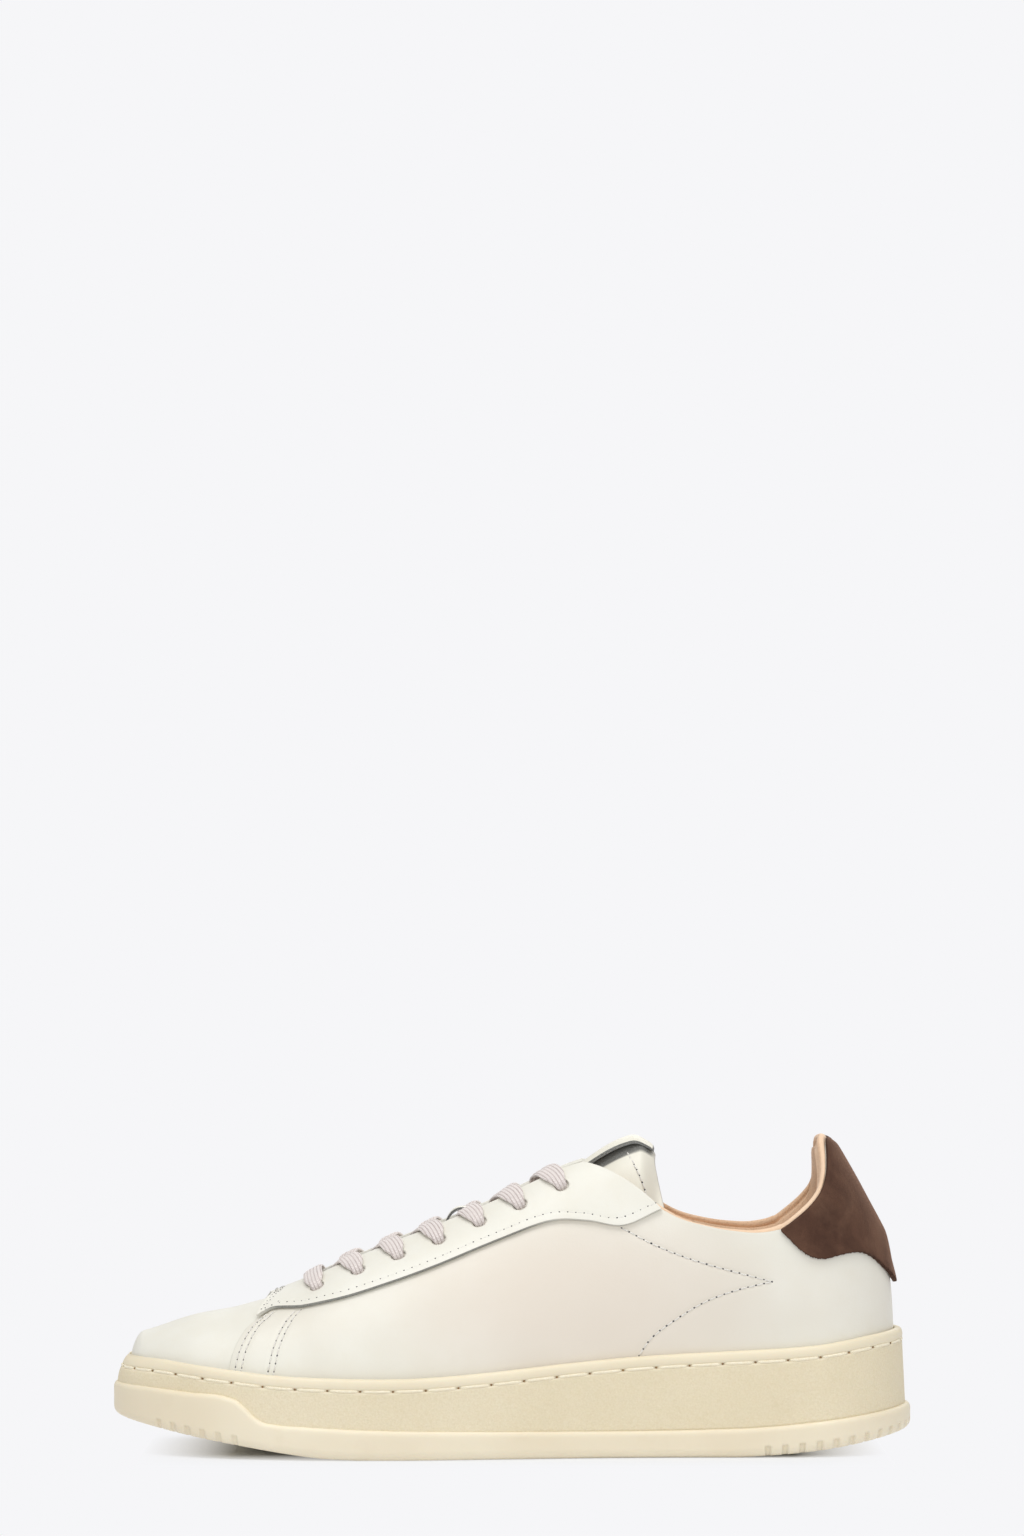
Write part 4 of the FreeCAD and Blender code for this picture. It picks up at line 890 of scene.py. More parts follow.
def build_cup():
    s = stations([], 0.9)
    rings, band = [], []

    def ring(d, push, textured=0.0, base=LIP_Z):
        rings.append(sole_ring(s, lambda x: wall_inset(base(x) + d, x) - push, lambda x: base(x) + d))
        band.append(np.full(len(s), textured))

    # inside the cavity, then over the lip, across the sewing groove and down the wall
    rings.append(sole_ring(s, 6.0, lambda x: STEP_Z(x) + 1.0))
    rings.append(sole_ring(s, 6.0, lambda x: LIP_Z(x) - 4))
    rings.append(sole_ring(s, 6.02, lambda x: LIP_Z(x) - 1.0))
    for share, d in ((0.05, -0.4), (0.17, -0.08), (0.34, 0.02), (0.52, -0.08)):
        rings.append(sole_ring(s, lambda x: lerp(6.0, wall_inset(LIP_Z(x), x), share),
                               lambda x: LIP_Z(x) + d))
    band += [np.zeros(len(s))] * 7
    for d, push in ((-0.32, -0.55), (-0.75, -0.18), (-1.3, 0.07), (-2.0, 0.2), (-2.7, 0.22), (-3.3, 0.12),
                    (-3.7, 0.0), (-3.85, -0.12), (-3.98, -0.4), (-4.2, -0.55), (-4.6, -0.55), (-4.82, -0.4),
                    (-4.95, -0.12), (-5.1, 0.0)):
        ring(d, push)
    for d in (-5.6, -6.4):
        ring(d, 0.0, 1.0)
    for f in np.linspace(0.08, 1.0, 14):
        rings.append(sole_ring(s, lambda x, f=f: wall_inset(lerp(LIP_Z(x) - 6.4, STEP_Z(x) - 0.7, f), x),
                               lambda x, f=f: lerp(LIP_Z(x) - 6.4, STEP_Z(x) - 0.7, f)))
        band.append(np.ones(len(s)))
    obj = ring_mesh("cup_wall", rings, [M_CUP], {"band": np.concatenate(band)}, capped=False)
    return settle(obj, "shoe", "cup_rubber", "cup_sole")


def build_sole_thread():
    """Long stitches nearly flush in the groove, and the needle holes between them, coloured with painted
    shade.
    """
    count = int(round(RUN[-1] / 12.3))
    marks = np.linspace(0, RUN[-1], count, endpoint=False) + 8.8
    t = np.linspace(0, 1, 21)
    s = (marks[:, None] + 0.75 + (RUN[-1] / count - 1.5) * t[None]) % RUN[-1]
    p, n = around(s.ravel())
    x = p[:, 0] + n[:, 0] * RUBBER_WALL
    z = LIP_Z(x) - 4.4
    dip = np.tile(0.7 * (np.abs(2 * t - 1) ** 8), count)
    q = p + n * (RUBBER_WALL - wall_inset(z, x) - 0.16 - dip)[:, None]
    path = np.concatenate([q, z[:, None]], 1).reshape(count, len(t), 3)
    out = np.concatenate([n, np.zeros((len(n), 1))], 1).reshape(path.shape)
    v, f, d = tubes(path, out, 0.56 * np.ones(len(t)), 0.44 * np.ones(len(t)), sides=10)
    p, n = around(marks % RUN[-1])
    x = p[:, 0] + n[:, 0] * RUBBER_WALL
    z = LIP_Z(x) - 4.4
    c = np.concatenate([p + n * (RUBBER_WALL - wall_inset(z, x) - 0.3)[:, None], z[:, None]], 1)
    along = np.stack([-n[:, 1], n[:, 0], np.zeros(len(n))], -1)
    step = np.array([-0.36, -0.2, 0.0, 0.2, 0.36])
    path = c[:, None] + along[:, None] * step[None, :, None]
    out = np.broadcast_to(np.concatenate([n, np.zeros((len(n), 1))], 1)[:, None], path.shape)
    hv, hf, hd = tubes(path, out, np.array([0.18, 0.3, 0.34, 0.3, 0.18]),
                       np.array([0.1, 0.2, 0.24, 0.2, 0.1]), sides=10)
    verts, faces, which, data = join([(v, f, [0, 0], d), (hv, hf, [1, 1], hd)])
    obj = add_object("sole_stitching", verts, faces, [M_SOLE_THREAD, M_SOLE_HOLE_SHADE], which, {"lay": data})
    return settle(obj, "shoe", "sole_thread", "sidewall_thread")


def build_footbed():
    inset = RUBBER_WALL - LINING + LINING_T + 0.6
    s = stations([], 2.0)
    thick = lambda x: lerp(3.4, 5.2, smooth(-60, 60, x))

    def layer(name, low, top, dish, mat, slot, node):
        rings = []
        base = sole_ring(s, inset, lambda x: FEATHER_Z(x) + low(x))
        for r in np.linspace(1, 0.06, 10):
            rings.append(to_spine(base, r, lambda x: FEATHER_Z(x) + low(x)))
        rings.append(sole_ring(s, inset + 0.25, lambda x: FEATHER_Z(x) + low(x)))
        rings.append(sole_ring(s, inset, lambda x: FEATHER_Z(x) + lerp(low(x), top(x), 0.35)))
        rings.append(sole_ring(s, inset + 0.05, lambda x: FEATHER_Z(x) + lerp(low(x), top(x), 0.75)))
        rings.append(sole_ring(s, inset + 0.35, lambda x: FEATHER_Z(x) + top(x) - 0.05))
        edge = sole_ring(s, inset + 0.9, lambda x: FEATHER_Z(x) + top(x))
        rings.append(edge)
        for r in np.linspace(0.05, 1, 18):
            q = to_spine(edge, r, lambda x: FEATHER_Z(x) + top(x))
            q[:, 2] -= dish * smooth(0.02, 0.7, r) - 0.03 * waves(q, 30, 5)
            rings.append(q)
        obj = ring_mesh(name, rings, [mat], {"band": np.zeros(sum(len(r) for r in rings))})
        return settle(obj, "footbed", slot, node)

    layer("footbed_pad", lambda x: 0.1, thick, 0.9, M_FOAM, "bed_foam", "footbed_foam")
    layer("footbed_top", lambda x: thick(x) + 0.1 - 0.75, lambda x: thick(x) + 0.9, 0.7, M_BED, "bed_cloth",
          "footbed_cover")


build_outsole()
build_cup()
build_sole_thread()
build_footbed()


# ================================================================ seam lines on the upper
def vamp_row(offset, side):
    """Row behind the vamp seam, from below the cup lip up to the facing's edge."""
    angles = np.linspace(14, 66, 90)
    line_x = SEAM_X(angles) + offset
    p = on_side(line_x, angles, side)
    z_top = FACING_EDGE_Z(np.clip(line_x, -95.5, 55)) - 0.4
    z_top = np.where(line_x < -95.5, 50.3 + 0.35 * (line_x + 97.5), z_top)
    return p[(p[:, 2] < z_top) & (p[:, 2] > LIP_Z(p[:, 0]) - 2)]


def facing_curves():
    pairs = [(55.1, 26.5), (41, 20), (27.6, 13), (14.2, 5), (0.5, -6), (-12.6, -18), (-28.5, -32.5),
             (-45, -47.5), (-65.3, -64.5), (-78, -72)]
    ribs = [(xo, float(angle_of(xo, FACING_EDGE_Z(xo))), xi, float(throat_angle(xi))) for xo, xi in pairs]
    ribs[0] = (55.1, float(angle_of(55.1, COLLAR_Z(55.1))), 26.5, float(angle_of(26.5, 107)))
    ribs.append((-89.4, float(angle_of(-89.4, 53.4)), -75.5, 81.5))
    ribs.append((-95.5, 55.3, -77.4, 84.2))
    ribs.append((-92.6, 71.0, -78.3, 87.0))
    ribs.append((-90.8, 90.0, -78.6, 90.0))
    k = np.arange(len(ribs)) / (len(ribs) - 1)
    return [Curve(*zip(k, [r[c] for r in ribs])) for c in range(4)]


FACING = facing_curves()
FACING_UP = GAP + LEATHER


def facing_waves(p):
    """Soft unevenness of the facing, which the sewing on it follows."""
    return 0.10 * waves(p, 40, 51, 1)


def facing_points(t, c):
    """Lateral half of the lace facing: t runs from the collar to the front, c from outer edge to throat."""
    x = lerp(FACING[0](t), FACING[2](t), c)
    return x, lerp(FACING[1](t), FACING[3](t), c)


def facing_row(distance, side, t0=0.0, t1=1.0, n=240):
    t = np.linspace(t0, t1, n)
    xo, ao = facing_points(t, 0.0)
    xi, ai = facing_points(t, 1.0)
    width = np.linalg.norm(at_angle(xi, ai) - at_angle(xo, ao), axis=-1)
    x, a = facing_points(t, distance / width)
    return on_side(x, a, side)


ROWS = {side: [vamp_row(d, side) for d in (2.4, 4.8, 14.9, 17.1)] for side in (-1, 1)}


def chevron_row(side):
    """Two straight-ish runs that meet in a sharp point."""
    low = seen(side, [(46.4, 37.2), (50.5, 43), (60.6, 50.8), (71.3, 57.1), (83.3, 61.5), (96.0, 64.5)], 90)
    high = seen(side, [(96.0, 64.5), (87, 66.9), (78.4, 69.1), (65.8, 72.8), (53.1, 77.7), (40.2, 84.2)], 90)
    return [low, high]


CHEVRONS = {side: chevron_row(side) for side in (-1, 1)}


def pulled(p, lines, depth=0.22, width=0.8):
    """How far the sewing pulls the leather in."""
    return depth * np.exp(-(near_lines(p, lines) / width) ** 2)


# ================================================================ the upper
def vamp_drop(x):
    return lerp(-0.1, -1.35, smooth(-122, -104, x))


def nose_points(back, rows, columns, power=1.6):
    s = np.linspace(0, 1, rows)[:, None]
    angle = 180 * np.linspace(0, 1, columns)[None]
    end = back(np.minimum(angle, 180 - angle))
    return at_angle(lerp(TOE_X + 0.4, end, s ** power), np.broadcast_to(angle, (rows, columns)))


def build_vamp():
    p = nose_points(lambda a: SEAM_X(a) + 7.5, 100, 170)
    nose = 0.6 * (1 - smooth(0, 11, p[..., 0] - TOE_X)) * smooth(28, 34, p[..., 2])
    top = off(p, vamp_drop(p[..., 0]) + nose + 0.10 * waves(p, 46, 21, 1) * smooth(-140, -128, p[..., 0]))
    low = off(p, vamp_drop(p[..., 0]) - LEATHER + 0.1)
    v, f, w = skin(top, low)
    obj = add_object("vamp_leather_panel", v, f, [M_LEATHER, M_LEATHER, M_LEATHER], w)
    return settle(obj, "shoe", "white_leather", "vamp")


def quarter_points(side, rows, heel_rows, columns):
    s, t = np.linspace(0, 1, rows)[:, None], np.linspace(0, 1, columns)[None]
    x = lerp(float(SEAM_X(0)), PIVOT_X, s) + 0 * t
    # the top edge stays a little lower where the heel patch covers it
    short = lambda u: 1 - 0.02 * smooth(97, 102, u)
    for _ in range(8):
        angle = t * quarter_top(x) * short(x)
        x = lerp(SEAM_X(angle), PIVOT_X, s)
    front = on_side(x, angle, side)
    u = lerp(PIVOT_X, HEEL_BACK - 0.05, np.linspace(0, 1, heel_rows)[1:])[:, None]
    return np.concatenate([front, rib(u, side, t * short(u))], 0)


def quarter_height(p):
    """Outer face of the quarter over the form: skived thin at the vamp seam, sewn rows pulled in."""
    side = -1 if p[..., 1].mean() < 0 else 1
    a = angle_of(np.clip(p[..., 0], -125, 60), p[..., 2])
    front = p[..., 0] - SEAM_X(np.clip(a, 0, 90))
    thin = -0.55 * (1 - smooth(0.0, 3.0, front))
    soft = 0.12 * waves(p, 55, 31 + side, 1)
    under = facing_row(0.0, side, 0, 0.93)
    tucked = -0.18 * np.exp(-(near_lines(p, [under]) / 2.2) ** 2)
    return thin + soft + tucked - pulled(p, ROWS[side] + CHEVRONS[side])


def build_quarter(side, name, node):
    p = quarter_points(side, 270, 64, 84)
    high = quarter_height(p)
    v, f, w = skin(off(p, high), off(p, -LEATHER + 0 * high), bulge=0.28)
    cut_edge_and_painted_shade = np.full(len(v), 0.4)
    obj = add_object(name, v, f, [M_QUARTER, M_QEDGE, M_QUARTER], w, {"cut_edge_and_painted_shade": cut_edge_and_painted_shade})
    return settle(obj, "shoe", "white_leather", node)


def eyelet(x, side):
    a = throat_angle(x) - EYELET_DROP(x)
    p = on_side(x, a, side)
    return p, normal(p)


def build_facing():
    rows = 861
    s = np.linspace(0, 1, rows)[:, None]
    t = 1 - np.abs(2 * s - 1)
    # thin steps next to both edges keep them crisp
    c = np.concatenate([[0, 0.004, 0.012], np.linspace(0.032, 0.982, 42), [0.995, 1]])[None]
    x, a = facing_points(t, c)
    angle = np.where(s <= 0.5, a, 180 - a)
    p = at_angle(x, angle)
    rows_in = [facing_row(2.6, k) for k in (-1, 1)] + [facing_row(4.9, k, 0.72, 1.0) for k in (-1, 1)]
    height = FACING_UP - pulled(p, rows_in, 0.13, 0.55)
    painted_hole_shade = np.zeros(height.shape)
    # the leather dips round the punched holes, and the holes are coloured dark with painted shade
    for side in (-1, 1):
        for ex in EYELET_XS:
            centre, _ = eyelet(ex, side)
            d = np.linalg.norm(p - centre, axis=-1)
            height = height - 0.3 * np.exp(-(d / 4.6) ** 2) - 2.2 * (1 - smooth(2.2, 2.75, d))
            painted_hole_shade = np.maximum(painted_hole_shade, 1 - smooth(2.1, 2.6, d))
    height = height + facing_waves(p)
    # gently crowned throat edge, and the front end fades out thin
    thick = lerp(LEATHER, 0.4, smooth(-80, -90, x) * smooth(0.6, 0.0, c) * smooth(0.935, 0.96, t))
    top = off(p, height - (LEATHER - thick))
    low = off(p, GAP - 0.1 + 0 * height)
    v, f, w = skin(top, low, rim=5, bulge=0.12, square=0.4)
    outer = [facing_row(0.0, side, 0, 0.95) for side in (-1, 1)]
    dark = lerp(0.35, 1.0, smooth(18, 2, v[:, 0])) * smooth(-99, -86, v[:, 0])
    cut = lerp(0.08, dark, near_lines(v, outer) < 2.2)
    cut[:2 * top.shape[0] * top.shape[1]] = 0
    # the top face takes the painted shade of the eyelet holes
    cut[:painted_hole_shade.size] = painted_hole_shade.ravel()
    obj = add_object("lace_facing_panel", v, f, [M_FACING, M_EDGE, M_LEATHER], w, {"cut_edge_and_painted_shade": cut})
    return settle(obj, "shoe", "white_leather", "lace_facing")


def build_patch():
    rows, columns = 441, 60
    span = HEEL_BACK - 99.6
    w = np.linspace(-span, span, rows)[:, None]
    f = np.linspace(0, 1, columns)[None]
    u = HEEL_BACK - np.abs(w)
    base, crown = FEATHER_Z(np.minimum(u, HEEL_X)), RIDGE(PIVOT_X)
    ragged = 0.2 * np.sin(w * 5.1) * np.sin(w * 2.3 + 1) + 0.13 * np.sin(w * 8.7) * np.sin(w * 1.7)
    low_z = np.minimum(PATCH_Z(u), COLLAR_Z(u) - 0.9) + np.where(u > 101, ragged, 0)
    high_z = COLLAR_Z(u) - 0.1 - 1.3 * smooth(132, 150, u)
    a0 = np.arcsin(np.clip((low_z - base) / (crown - base), 0, 1) ** 1.5)
    a1 = np.arcsin(np.clip((high_z - base) / (crown - base), 0, 1) ** 1.5)
    z = base + (crown - base) * np.sin(lerp(a0, a1, f)) ** (2 / 3)
    lateral, medial = at_wrap(u + 0 * f, z, -1), at_wrap(u + 0 * f, z, 1)
    p = np.where((w < 0)[..., None], lateral, medial)
    tail = smooth(72, 62, p[..., 2]) * smooth(136, 141, p[..., 0])
    rolled = -lerp(0.45, 0.9, smooth(120, 145, u)) * np.exp(-((1 - f) / 0.05) ** 2)
    soft = 0.10 * waves(p, 26, 61) * (1 - np.abs(2 * f - 1) ** 4)
    height = GAP + LEATHER + 0.15 + 0.9 * tail + rolled + soft
    top = off(p, height)
    low = off(p, GAP - 0.1 + 0.8 * tail)
    v, faces, which = skin(top, low, rim=5, bulge=0.3, square=0.7)
    cut_edge_and_painted_shade = np.zeros(len(v))
    cut_edge_and_painted_shade[2 * rows * columns:] = 0.8
    obj = add_object("heel_patch_nubuck", v, faces, [M_SUEDE, M_SUEDE, M_SUEDE], which, {"cut_edge_and_painted_shade": cut_edge_and_painted_shade})
    return settle(obj, "shoe", "brown_suede", "heel_patch")


def build_collar():
    """Padded lining and its rolled edge, from one side of the throat round the heel to the other."""
    front = -40.0
    span = HEEL_BACK - front
    w = np.linspace(-span, span, 601)
    u = HEEL_BACK - np.abs(w)
    f = np.concatenate([np.linspace(0, 0.6, 14, endpoint=False), np.linspace(0.6, 0.985, 30)])
    left, right = rib(u[:, None], -1, f[None]), rib(u[:, None], 1, f[None])
    edge_l, edge_r = rib(u, -1, 1.0), rib(u, 1, 1.0)
    below_l, below_r = rib(u, -1, 0.97), rib(u, 1, 0.97)
    pick = (w < 0)[:, None]
    p = np.where(pick[..., None], left, right)
    edge, below = np.where(pick, edge_l, edge_r), np.where(pick, below_l, below_r)
    n = normal(edge)
    up = edge - below
    up = unit(up - n * np.sum(up * n, -1, keepdims=True))
    swell = (COLLAR_PAD - 0.2) * pad(u[:, None], p[..., 2])
    soft = 0.14 * waves(p, 24, 71) * smooth(60, 80, u)[:, None]
    inner = off(p, LINING - LINING_T - swell + soft)
    outer = off(p, np.where(p[..., 2] > 0, LINING + 0.02, 0))
    thickness = Curve((20, 0.25), (24, 0.25), (30, 0.5), (44, 0.75), (60, 0.85), (84, 1.2), (100, 1.65),
                      (130, 1.65), (152, 1.65))
    r = np.maximum(thickness(u), 0.25)
    raised = Curve((20, -1.2), (25, -0.9), (30, 0.6), (36, 1.0), (44, 1.1), (54, 0.8), (66, 0.05), (84, 0.0),
                   (104, 0.55), (130, 0.6), (152, 0.6))
    lift = raised(np.maximum(u, 20))
    a = np.radians(np.array([-38, -15, 5, 25, 45, 65, 85, 105, 125, 145, 165, 185, 205]))
    # the roll starts tucked behind the leather's edge, goes over the top and ends in a sewn line
    out = 0.95 * smooth(98, 104, u)
    roll = (edge[:, None] + up[:, None] * (lift[:, None] + r[:, None] * np.sin(a)[None])[..., None]
            + n[:, None] * ((out - LEATHER - 0.05 - r)[:, None] + r[:, None] * np.cos(a)[None])[..., None])
    seam_d = -LEATHER - 0.05 - 1.75 * r
    seam = [edge + up * (lift - 0.62 * r - 0.15)[:, None] + n * (seam_d + 0.2)[:, None],
            edge + up * (lift - 0.85 * r - 0.5)[:, None] + n * (seam_d - 0.15)[:, None]]
    start = [edge + up * (lift - 2.2 - r)[:, None] + n * (-LEATHER - 0.3)]
    columns = [outer[:, k] for k in (0, 10, 20)] + start
    columns += [roll[:, k] for k in range(roll.shape[1])] + seam
    felt_start = 3 + len(start) + int(np.searchsorted(a, math.radians(100)))
    # below the sewn line the padding swells towards the foot
    columns += [inner[:, k] for k in range(inner.shape[1] - 1, -1, -1)]
    grid = np.stack(columns, 1)
    count = grid.shape[1]
    faces = grid_faces(len(u), count, closed=True)
    which = np.where((faces[:, 0] % count >= felt_start - 1) | (faces[:, 0] % count < 2), 1, 0)
    ends = []
    for row in (0, len(u) - 1):
        k = np.arange(1, count - 2)
        fan = np.stack([np.full(len(k), row * count), row * count + k, row * count + k + 1], -1)
        ends.append(fan if row else fan[:, ::-1])
    obj = add_object("collar_padding", grid.reshape(-1, 3), [faces[which == 0], faces[which == 1]] + ends,
                     [M_ROLL, M_FELT], [0, 1, 1, 1])
    return settle(obj, "shoe", "tan_lining", "collar_lining", "collar_foam")


build_vamp()
build_quarter(-1, "lateral_quarter_panel", "lateral_quarter")
build_quarter(1, "medial_quarter_panel", "medial_quarter")
build_facing()
build_patch()
build_collar()


# ================================================================ sewing on the upper
def sew(name, lines, height, body="shoe", **how):
    v, f, w, d = stitches(lines, height, **how)
    obj = add_object(name, v, f, [M_THREAD, M_HOLE_SHADE], w, {"lay": d})
    return settle(obj, body, "white_leather")


def seam_height(p):
    """The seam's first two rows run on over the thin front of the facing."""
    x, z = p[..., 0], p[..., 2]
    behind = x - SEAM_X(z)
    over = smooth(-0.4, 0.4, z - FACING_EDGE_Z(np.maximum(x, -95.5))) * (behind < 8)
    raised = lerp(0.8, 1.2, (behind - 2.4) / 2.4) + facing_waves(p)
    return lerp(quarter_height(p) + 0.02, raised, over)


for SIDE, WORD in ((-1, "lateral"), (1, "medial")):
    sew(f"{WORD}_seam_stitches", ROWS[SIDE], seam_height)
    sew(f"{WORD}_chevron_stitches", CHEVRONS[SIDE], lambda p: quarter_height(p) + 0.02, hole=0.32)
    sew(f"{WORD}_facing_stitches", [facing_row(2.6, SIDE, 0.0, 0.985), facing_row(4.9, SIDE, 0.78, 1.0)],
        lambda p: FACING_UP - 0.12 + facing_waves(p), radius=0.16, proud=-0.2, hole=0.25)


# ================================================================ the tongue
def tongue_face(p):
    """Outer face of the tongue over form points: crowned under its label, curling down to its top edge."""
    x, y = p[..., 0], p[..., 1]
    across = (90 - angle_at_y(x, np.abs(y), y)) / TONGUE_EDGE(x)
    middle = np.maximum(0, 1 - across ** 2)
    curl = 11.6 * smooth(45.8, 54, x) * (0.3 + 0.7 * middle)
    return TONGUE + np.maximum(0, TONGUE_CROWN(x)) * middle - curl


def build_tongue():
    rows, columns = 170, 64
    s = np.linspace(0, 1, rows)[:, None]
    t = np.linspace(-1, 1, columns)[None]

    def grid(margin):
        end = TONGUE_END_X(np.abs(t)) - margin
        x = lerp(-81.0 + margin, end, s)
        return at_angle(x, 90 + t * (TONGUE_EDGE(x) - 1.4 * margin))

    p = grid(0.35)
    face = tongue_face(p)
    crown = 0.5 * (1 - np.abs(t) ** 4) * smooth(1.0, 0.93, s) + 0.18 * waves(p, 34, 81)
    # padding swells up under the label
    x, y = p[..., 0], np.abs(p[..., 1])
    crown = crown + 1.7 * smooth(21, 28, x) * smooth(50, 46, x) * smooth(10, 3, y)
    # the padding runs out before the top edge
    depth = 4.7 - 3.3 * smooth(0.86, 0.965, s)
    v, f, w = skin(off(p, face - 0.45 + crown), off(p, face - depth), rim=5, bulge=0.35, square=0.8)
    cut_edge_and_painted_shade = np.full(len(v), 0.5)
    # painted shadow under and just beside the label strap
    cut_edge_and_painted_shade[:y.size] = (smooth(12.4, 11.2, y) * smooth(22, 26, x) * smooth(50.5, 48.5, x)).ravel()
    obj = add_object("tongue_face", v, f, [M_SHADED, M_TEDGE, M_TONGUE], w, {"cut_edge_and_painted_shade": cut_edge_and_painted_shade})
    settle(obj, "tongue", "white_leather", "tongue_leather", "tongue_foam")
    p = grid(0.7)
    face = tongue_face(p)
    back = face - depth - 1.05 - 0.2 * (1 - np.abs(t) ** 6)
    v, f, w = skin(off(p, face - depth - 0.02), off(p, back), rim=3, bulge=0.25)
    obj = add_object("tongue_back", v, f, [M_FELT, M_FELT, M_FELT], w)
    settle(obj, "tongue", "tan_lining", "tongue_lining")


def strap(x0, x1, half, rise, thick, bow, lift=0.0, rows=70, columns=16, soften=0):
    """Leather strap along X over the tongue, sewn down at both ends and bowed up between."""
    s = np.linspace(0, 1, rows)[:, None]
    t = np.linspace(-1, 1, columns)[None]
    x = lerp(x0, x1, s) + 0 * t
    arch = np.sin(math.pi * s) ** bow
    side = np.where(t <= 0, -1, 1)
    edge = 90 - angle_at_y(x, half, side)
    base = at_angle(x, 90 + t * edge)
    face = np.pad(tongue_face(base), ((soften, soften), (0, 0)), "edge")
    face = np.mean([face[k:k + rows] for k in range(2 * soften + 1)], axis=0)
    base = off(base, face)
    n = normal(at_angle(x[:, :1], 90.0))
    level = GAP + rise * arch + lift + 0 * t
    top = base + n * (level + thick)[..., None]
    return top, base + n * level[..., None]


def build_strap(name, node, *shape, **more):
    """Two leather layers, so that a fine dark line runs round the cut edge."""
    parts = []
    thick = shape[4]
    for low, high in ((0.0, 0.46 * thick), (0.54 * thick, thick)):
        top, under = strap(*shape[:4], high - low, shape[5], low, **more)
        v, f, w = skin(top, under, rim=4, bulge=0.15, square=0.5)
        parts.append((v, f, w, np.ones((len(v), 3))))
    v, f, w, _ = join(parts)
    cut_edge_and_painted_shade = np.ones(len(v))
    obj = add_object(name, v, f, [M_TONGUE, M_GREY_EDGE, M_TONGUE], w, {"cut_edge_and_painted_shade": cut_edge_and_painted_shade})
    return settle(obj, "tongue", "white_leather", node)


build_tongue()
build_strap("tongue_label_strap", "tongue_label", 20.5, 50.1, 9.5, 2.45, 1.3, 0.5, soften=7)
build_strap("keeper_strap", "lace_keeper", -28.5, -12.5, 4.9, 9.3, 1.1, 0.6, rows=40, columns=10)
for SIDE, WORD in ((-1, "lateral"), (1, "medial")):
    LINE = seen_on(SIDE, [(42.3, 112.2), (44.9, 107.7), (47.4, 102.6), (49.4, 96.8), (50.4, 92.2)],
                   tongue_face)
    sew(f"{WORD}_tongue_stitches", [LINE], lambda p: tongue_face(p) - 0.1, "tongue", hole=0.3)


# ================================================================ the laces
ABOVE = FACING_UP + 0.9
UNDER = LINING - LINING_T - 0.25 - 0.75
KEPT_PASS = 3


def laid(points, heights):
    """Lace centre line over the form, its surface normals and flat direction."""
    n = normal(points)
    return points + n * heights[:, None], n


def dive(path, n, depth=3.2, radius=1.35):
    """Curls the end of a lace down into its eyelet."""
    way = unit(path[-1] - path[-3])
    down = -n[-1]
    way = unit(way - down * np.dot(way, down))
    turn = np.radians(np.arange(9, 91, 9))
    bend = path[-1] + way * radius * np.sin(turn)[:, None] + down * radius * (1 - np.cos(turn))[:, None]
    drop = bend[-1] + down * np.linspace(0.3, depth, 5)[:, None]
    ups = [unit(-down * math.cos(a) + way * math.sin(a)) for a in turn] + [way] * 5
    return np.concatenate([path, bend, drop]), np.concatenate([n, np.array(ups)])


def lace_piece(name, path, ups, wide, thick, crease, body="shoe"):
    v, f, d = tubes(path[None], ups[None], wide / 2, thick / 2, sides=48, power=2.7, ridges=crease)
    obj = add_object(name, v, f, [M_LACE], None, {"lay": d})
    if body:
        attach(obj, body)
    return obj


def plump(left, centre=8.2):
    """Width, thickness and crease depth of a lace, left mm before it curls into its eyelet."""
    gather = np.clip(1 - left / 6.5, 0, 1) ** 2
    thick = 1.7 + 0.3 * smooth(14, 6, left) + 0.6 * smooth(3.6, 0.2, left)
    return centre * (1 - 0.40 * gather), thick, 0.10 + 0.10 * smooth(7, 1, left)


def over_throat(x, y):
    """Form points at x and y, on either side of the ridge."""
    side = np.where(y <= 0, -1, 1)
    angle = angle_at_y(x, np.abs(y), side)
    return at_angle(x, np.where(side < 0, angle, 180 - angle))


def crossing(i, side):
    """From under the facing at eyelet i on one side, over the other side's edge, into eyelet i + 1."""
    a, _ = eyelet(EYELET_XS[i], side)
    b, _ = eyelet(EYELET_XS[i + 1], -side)
    far = abs(b[1]) / float(THROAT_HALF(b[0]))
    near = abs(a[1]) / float(THROAT_HALF(a[0]))
    share = Curve((-near, 0.0), (-1, 0.18), (0, 0.42), (0.5, 0.56), (1, 0.745), ((1 + far) / 2, 0.875),
                  (far, 0.985))
    kept = i == KEPT_PASS
    low, high = (-1.9, -0.3) if kept else (-0.4, 1.1)
    if side < 0:
        low, high = -4.4, -1.6
    rise = Curve((-near, UNDER), (-0.85, UNDER), (0, low), (0.5, high), (0.92, ABOVE + 0.1),
                 ((1 + far) / 2, ABOVE + 0.35), (far, ABOVE - 0.1))
    way = lerp(-near, far, np.linspace(0, 1, 130))
    way = way[way <= far - 0.03]
    x = lerp(a[0], b[0], share(way))
    y = -side * way * THROAT_HALF(x)
    path, n = laid(over_throat(x, y), rise(way))
    # stop short of the hole's middle, then curl in
    keep = np.linalg.norm(path - (b + normal(b) * ABOVE), axis=-1) > 1.1
    keep[:70] = True
    path, n, way = path[keep], n[keep], way[keep]
    count = len(path)
    run = run_along(path)
    wide, thick, crease = plump(run[-1] - run)
    wide = wide * lerp(0.66, 1, smooth(-near, -near + 0.5, way))
    path, ups = dive(path, n)
    more = len(path) - count
    wide = np.concatenate([wide, np.linspace(wide[-1], 3.9, more)])
    thick = np.concatenate([thick, np.linspace(thick[-1], 2.9, more)])
    return path, ups, wide, thick, np.concatenate([crease, np.full(more, crease[-1])])


